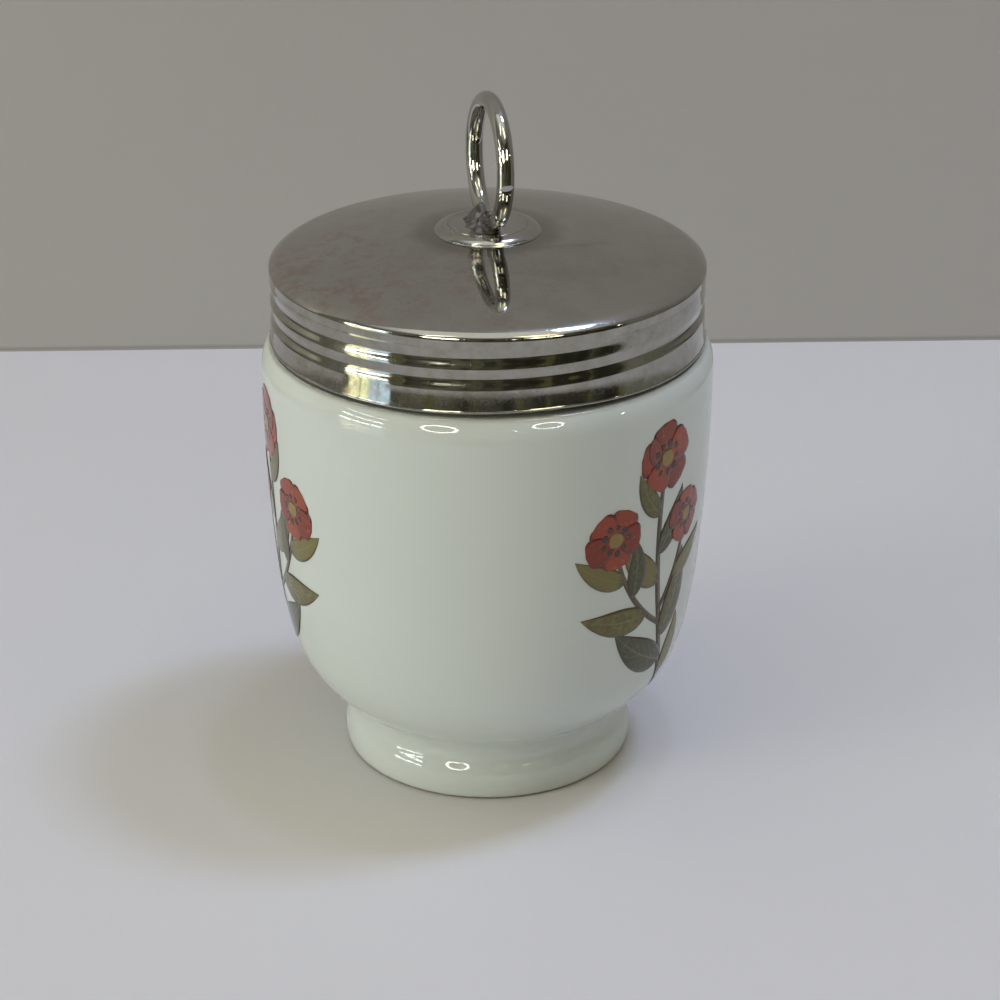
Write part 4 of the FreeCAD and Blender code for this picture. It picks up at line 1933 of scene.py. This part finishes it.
@dataclass(frozen=True)
class Room:
    """The room that polish reflects, by bearing from the viewer and height, in degrees."""

    grey: Colour = (0.205, 0.205, 0.175)
    ceiling: Colour = (0.560, 0.600, 0.640)
    ceiling_foot: Point = (44.0, 62.0)
    upper: Colour = (0.95, 0.95, 0.86)
    upper_foot: Point = (56.0, 70.0)
    dark: Colour = (0.055, 0.055, 0.040)
    dim: Colour = (0.200, 0.200, 0.150)
    dim_sides: Point = (45.0, -40.0)
    olive: Colour = (0.150, 0.140, 0.065)
    gloom_sides: Band = (-51.0, 74.0, 2.5)
    gloom_top: Point = (46.0, 41.0)
    clouds: Cloud = Cloud(3.0, 0.42, 0.62, 3.0)
    block_scale: Point = (0.11, 0.035)
    glazing: Patch = Patch((-76.0, -51.0, 0.5), (-40.0, 3.5, 0.4), (2.40, 2.45, 1.55))
    cool_glass: Colour = (1.15, 1.50, 1.80)
    cool_sides: Point = (-64.5, -63.0)
    posts: tuple[Band, ...] = ((-69.5, -68.3, 0.2), (-58.6, -57.6, 0.2))
    rail: Band = (-3.0, -1.8, 0.2)
    frame: Colour = (0.25, 0.27, 0.22)
    slat_sides: Band = (-76.0, -52.0, 1.0)
    slats: tuple[Band, ...] = ((1.5, 4.2, 0.4), (11.0, 13.2, 0.4))
    top_slat: Band = (21.0, 22.6, 0.4)
    slat_light: Colour = (17.0, 18.0, 16.5)
    patches: tuple[Patch, ...] = (
        Patch((-74.0, -58.0, 2.0), (-9.0, -6.0, 0.6), (3.6, 3.8, 3.2)),
        Patch((27.0, 50.0, 2.0), (52.0, 70.0, 2.0), (5.5, 5.0, 2.6)),
        Patch((-43.0, -37.0, 1.0), (50.0, 74.0, 2.0), (7.0, 7.0, 6.0)))
    lights: tuple[RoundLight, ...] = (
        RoundLight(-24.0, 20.5, 7.2, 9.0), RoundLight(31.5, 26.0, 6.2, 7.7, 0.9),
        RoundLight(14.0, 20.0, -1.0, 1.1), RoundLight(71.0, 16.0, -1.0, 1.2))
    lamplight: Colour = (26.0, 25.2, 20.5)

    def _gloom(self, graph: Graph, direction: Value, bearing: Value, height: Value) -> Value:
        """Colour of the dark side of the room.

        Args:
            graph: graph of the world.
            direction: direction that is looked in.
            bearing: its bearing.
            height: its height.

        Returns:
            The colour.
        """
        gloom = graph.blend(bearing.ramp(*self.dim_sides), self.dark, self.dim)
        gloom = graph.blend(self.clouds.mask(graph, direction) * 0.6, gloom,
                            mixed(self.dark, BLACK, 0.7))
        across, up = self.block_scale
        block = graph.noise(graph.vector(bearing * across, height * up, 1.7), 1.0, 1.0)
        gloom = graph.blend(block.ramp(0.56, 0.60) * 0.8, gloom, self.olive)
        return graph.blend(block.ramp(0.44, 0.41) * 0.7, gloom, mixed(self.dark, BLACK, 0.6))

    def _window(self, graph: Graph, room: Value, bearing: Value, height: Value) -> Value:
        """Add the window and the bright slats over it.

        Args:
            graph: graph of the world.
            room: colour of the room without them.
            bearing: bearing that is looked in.
            height: its height.

        Returns:
            Colour of the room with them.
        """
        left, right = (bearing.band(*post) for post in self.posts)
        bars = left.most(right).most(height.band(*self.rail))
        glass = graph.blend(bearing.ramp(*self.cool_sides), self.glazing.colour,
                            self.cool_glass)
        glass = graph.blend(bars * 0.75, glass, self.frame)
        room = graph.blend(self.glazing.mask(bearing, height), room, glass)
        low, middle = (height.band(*slat) for slat in self.slats)
        slats = low.most(middle).most(height.band(*self.top_slat) * 0.6)
        slats = slats * bearing.band(*self.slat_sides) * (1.0 - bars)
        return graph.blend(slats, room, self.slat_light)

    def colour(self, graph: Graph) -> Value:
        """Colour of the room in each direction.

        Args:
            graph: graph of the world.

        Returns:
            The colour.
        """
        direction = graph.value("ShaderNodeTexCoord", "Generated")
        x, y, z = graph.parts(direction)
        bearing = bearing_of(x, y)
        height = z.least(1.0).arcsin() * (HALF_TURN / math.pi)
        room = graph.blend(height.ramp(*self.ceiling_foot), self.grey, self.ceiling)
        room = graph.blend(height.ramp(*self.upper_foot), room, self.upper)
        dark = bearing.band(*self.gloom_sides) * height.ramp(*self.gloom_top)
        room = graph.blend(dark, room, self._gloom(graph, direction, bearing, height))
        room = self._window(graph, room, bearing, height)
        for patch in self.patches:
            room = graph.blend(patch.mask(bearing, height), room, patch.colour)
        light: Term = 0.0
        for lamp in self.lights:
            light = lamp.mask(graph, direction).most(light)
        return graph.blend(light, room, self.lamplight)


@dataclass
class Studio:
    """Pale floor, wall, soft light, the room that polish reflects, and the view."""

    camera: tuple[float, float, float] = (1.7655, -363.953, 205.306)
    pitch: float = 24.74
    roll: float = 0.1
    lens: float = 100.13
    sensor: float = 36.0
    wall_back: float = 155.3
    wall_turn: float = 2.1
    half_width: float = 1600.0
    depth: float = 1400.0
    floor_tone: Colour = (0.750, 0.744, 0.744)
    wall_tone: Colour = (0.500, 0.487, 0.470)
    table_end: float = 214.0
    table_soft: float = 10.0
    window_start: float = 198.0
    window_sides: Band = (-75.0, -50.0, 0.6)
    window_soft: float = 3.0
    cloud_share: float = 0.04
    # Levels and share of the painted shade line along the foot of the wall.
    painted_shade_band: Band = (0.0002, 0.0009, 0.0004)
    wall_foot_shade_share: float = 0.35
    # Painted light: the wall's colour turns lighter higher up.
    painted_wall_light: Colour = (0.9, 0.9, 0.88)
    painted_wall_light_levels: Point = (0.12, 0.34)
    painted_wall_light_share: float = 0.16
    pale: Colour = (0.560, 0.560, 0.550)
    overhead: Colour = (1.19, 1.09, 0.81)
    sidelight: Colour = (0.00, 0.04, 0.50)
    lamps: tuple[Lamp, ...] = (
        Lamp("day", 107.8, 68.3, 1.1, 0.20, 4.0, (0.510, 0.625, 1.0), glossy=True),
        Lamp("high_day", 107.8, 82.5, 1.1, 0.08, 0.9, (0.510, 0.620, 1.0)),
        Lamp("left_window", -62.0, 12.0, 1.3, 0.62, 6.3, (0.97, 0.98, 0.77)))

    def _view(self) -> None:
        """Camera at the viewing angle."""
        data = bpy.data.cameras.new("view")
        data.lens = self.lens
        data.sensor_width = self.sensor
        data.clip_start = 0.01
        camera = bpy.data.objects.new("view", data)
        turn = Matrix.Rotation(math.radians(VIEW_TURN), 4, "Z")
        tilt = Matrix.Rotation(math.radians(RIGHT_ANGLE - self.pitch), 4, "X")
        roll = Matrix.Rotation(math.radians(self.roll), 4, "Z")
        camera.matrix_world = turn @ Matrix.Translation(Vector(self.camera) * MM) @ tilt @ roll
        bpy.context.scene.collection.objects.link(camera)
        bpy.context.scene.camera = camera

    def _floor_gap(self, graph: Graph) -> Value:
        """Where polished surfaces see past the table's edge.

        Args:
            graph: graph of the floor's material.

        Returns:
            1 there, 0 elsewhere.
        """
        x, y, _ = graph.parts(graph.value("ShaderNodeTexCoord", "Object"))
        bearing = bearing_of(x, y)
        reach = (x * x + y * y) ** 0.5 / MM
        front = reach.ramp(self.table_end - self.table_soft, self.table_end + self.table_soft)
        window = bearing.band(*self.window_sides) * reach.ramp(
            self.window_start - self.window_soft, self.window_start + self.window_soft)
        glossy = graph.value("ShaderNodeLightPath", "Is Glossy Ray")
        return front.most(window) * glossy

    def _plane(self, name: str, corners: list[Vector], tone: Colour,
               gap: Callable[[Graph], Value]) -> bpy.types.Object:
        """Flat stage piece with a soft, faintly uneven colour, painted shade along the wall's foot
        and painted light higher up the wall.

        Args:
            name: its name.
            corners: four corners in metres.
            tone: its colour.
            gap: gives the mask where the piece isn't seen.

        Returns:
            The stage piece.
        """
        mesh = bpy.data.meshes.new(name)
        mesh.from_pydata(corners, [], [(0, 1, 2, 3)])
        made = piece(name, mesh)
        paint = bpy.data.materials.new(name)
        graph = Graph.cleared(paint)
        place = graph.value("ShaderNodeTexCoord", "Object")
        cloud = graph.noise(place, 7.0, 3.0)
        colour = graph.blend(cloud, tone, mixed(tone, BLACK, self.cloud_share))
        level = graph.parts(place)[2]
        # Painted shade: a thin dark line along the foot of the wall, where it meets the floor.
        colour = graph.blend(level.band(*self.painted_shade_band) * self.wall_foot_shade_share, colour,
                             mixed(tone, BLACK, 0.8))
        # Painted light: lighter higher up the wall.
        high = level.ramp(*self.painted_wall_light_levels)
        colour = graph.blend(high * self.painted_wall_light_share, colour, self.painted_wall_light)
        shader = graph.node("ShaderNodeBsdfPrincipled", None,
                            {"Base Color": colour, "Roughness": 0.6,
                             "Specular IOR Level": 0.2})
        clear = graph.node("ShaderNodeBsdfTransparent")
        shown = graph.node("ShaderNodeMixShader", None,
                           {0: gap(graph), 1: shader.outputs[0], 2: clear.outputs[0]})
        graph.node("ShaderNodeOutputMaterial", None, {"Surface": shown.outputs[0]})
        mesh.materials.append(paint)
        return made

    def _room(self) -> None:
        """World: plain soft light from above and the left, and the room that polish shows."""
        world = bpy.data.worlds.new("room")
        graph = Graph.cleared(world)
        direction = graph.value("ShaderNodeTexCoord", "Generated")
        x, y, z = graph.parts(direction)
        left = 0.0 - toward(x, y, VIEW_TURN)
        above = z.most(0.0) * z
        aside = left.most(0.0) * left * z.above(0.0)
        soft = graph.vector(*(above * top + aside * side
                              for top, side in zip(self.overhead, self.sidelight)))
        path = graph.node("ShaderNodeLightPath")
        seen = graph.blend(path.outputs["Is Glossy Ray"], soft, Room().colour(graph))
        seen = graph.blend(path.outputs["Is Camera Ray"], seen, self.pale)
        plain = graph.node("ShaderNodeBackground", None, {"Color": seen, "Strength": 1.0})
        graph.node("ShaderNodeOutputWorld", None, {"Surface": plain.outputs[0]})
        bpy.context.scene.world = world

    def build(self) -> None:
        """Set up floor, wall, lamps, world and camera."""
        turn = Matrix.Rotation(math.radians(VIEW_TURN + self.wall_turn), 4, "Z")
        half, far, back = (v * MM for v in (self.half_width, self.depth, self.wall_back))
        self._plane("floor", [turn @ Vector(c) for c in
                              ((-half, -far, 0), (half, -far, 0), (half, far, 0),
                               (-half, far, 0))], self.floor_tone, self._floor_gap)
        self._plane("wall", [turn @ Vector(c) for c in
                             ((-half, back, -0.02), (half, back, -0.02), (half, back, far),
                              (-half, back, far))], self.wall_tone,
                    lambda graph: graph.value("ShaderNodeNewGeometry", "Backfacing"))
        for lamp in self.lamps:
            lamp.build()
        self._room()
        self._view()
        bpy.context.scene.view_settings.view_transform = "Standard"


def main() -> None:
    """Build the coddler and its stage."""
    logging.basicConfig(level=logging.INFO, format="%(message)s")
    cup = Cup().build()
    for part in (Print(cup[0]), Lid(), Boss(), LiftingRing()):
        part.build()
    Studio().build()
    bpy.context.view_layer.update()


if __name__ == "__main__":
    main()
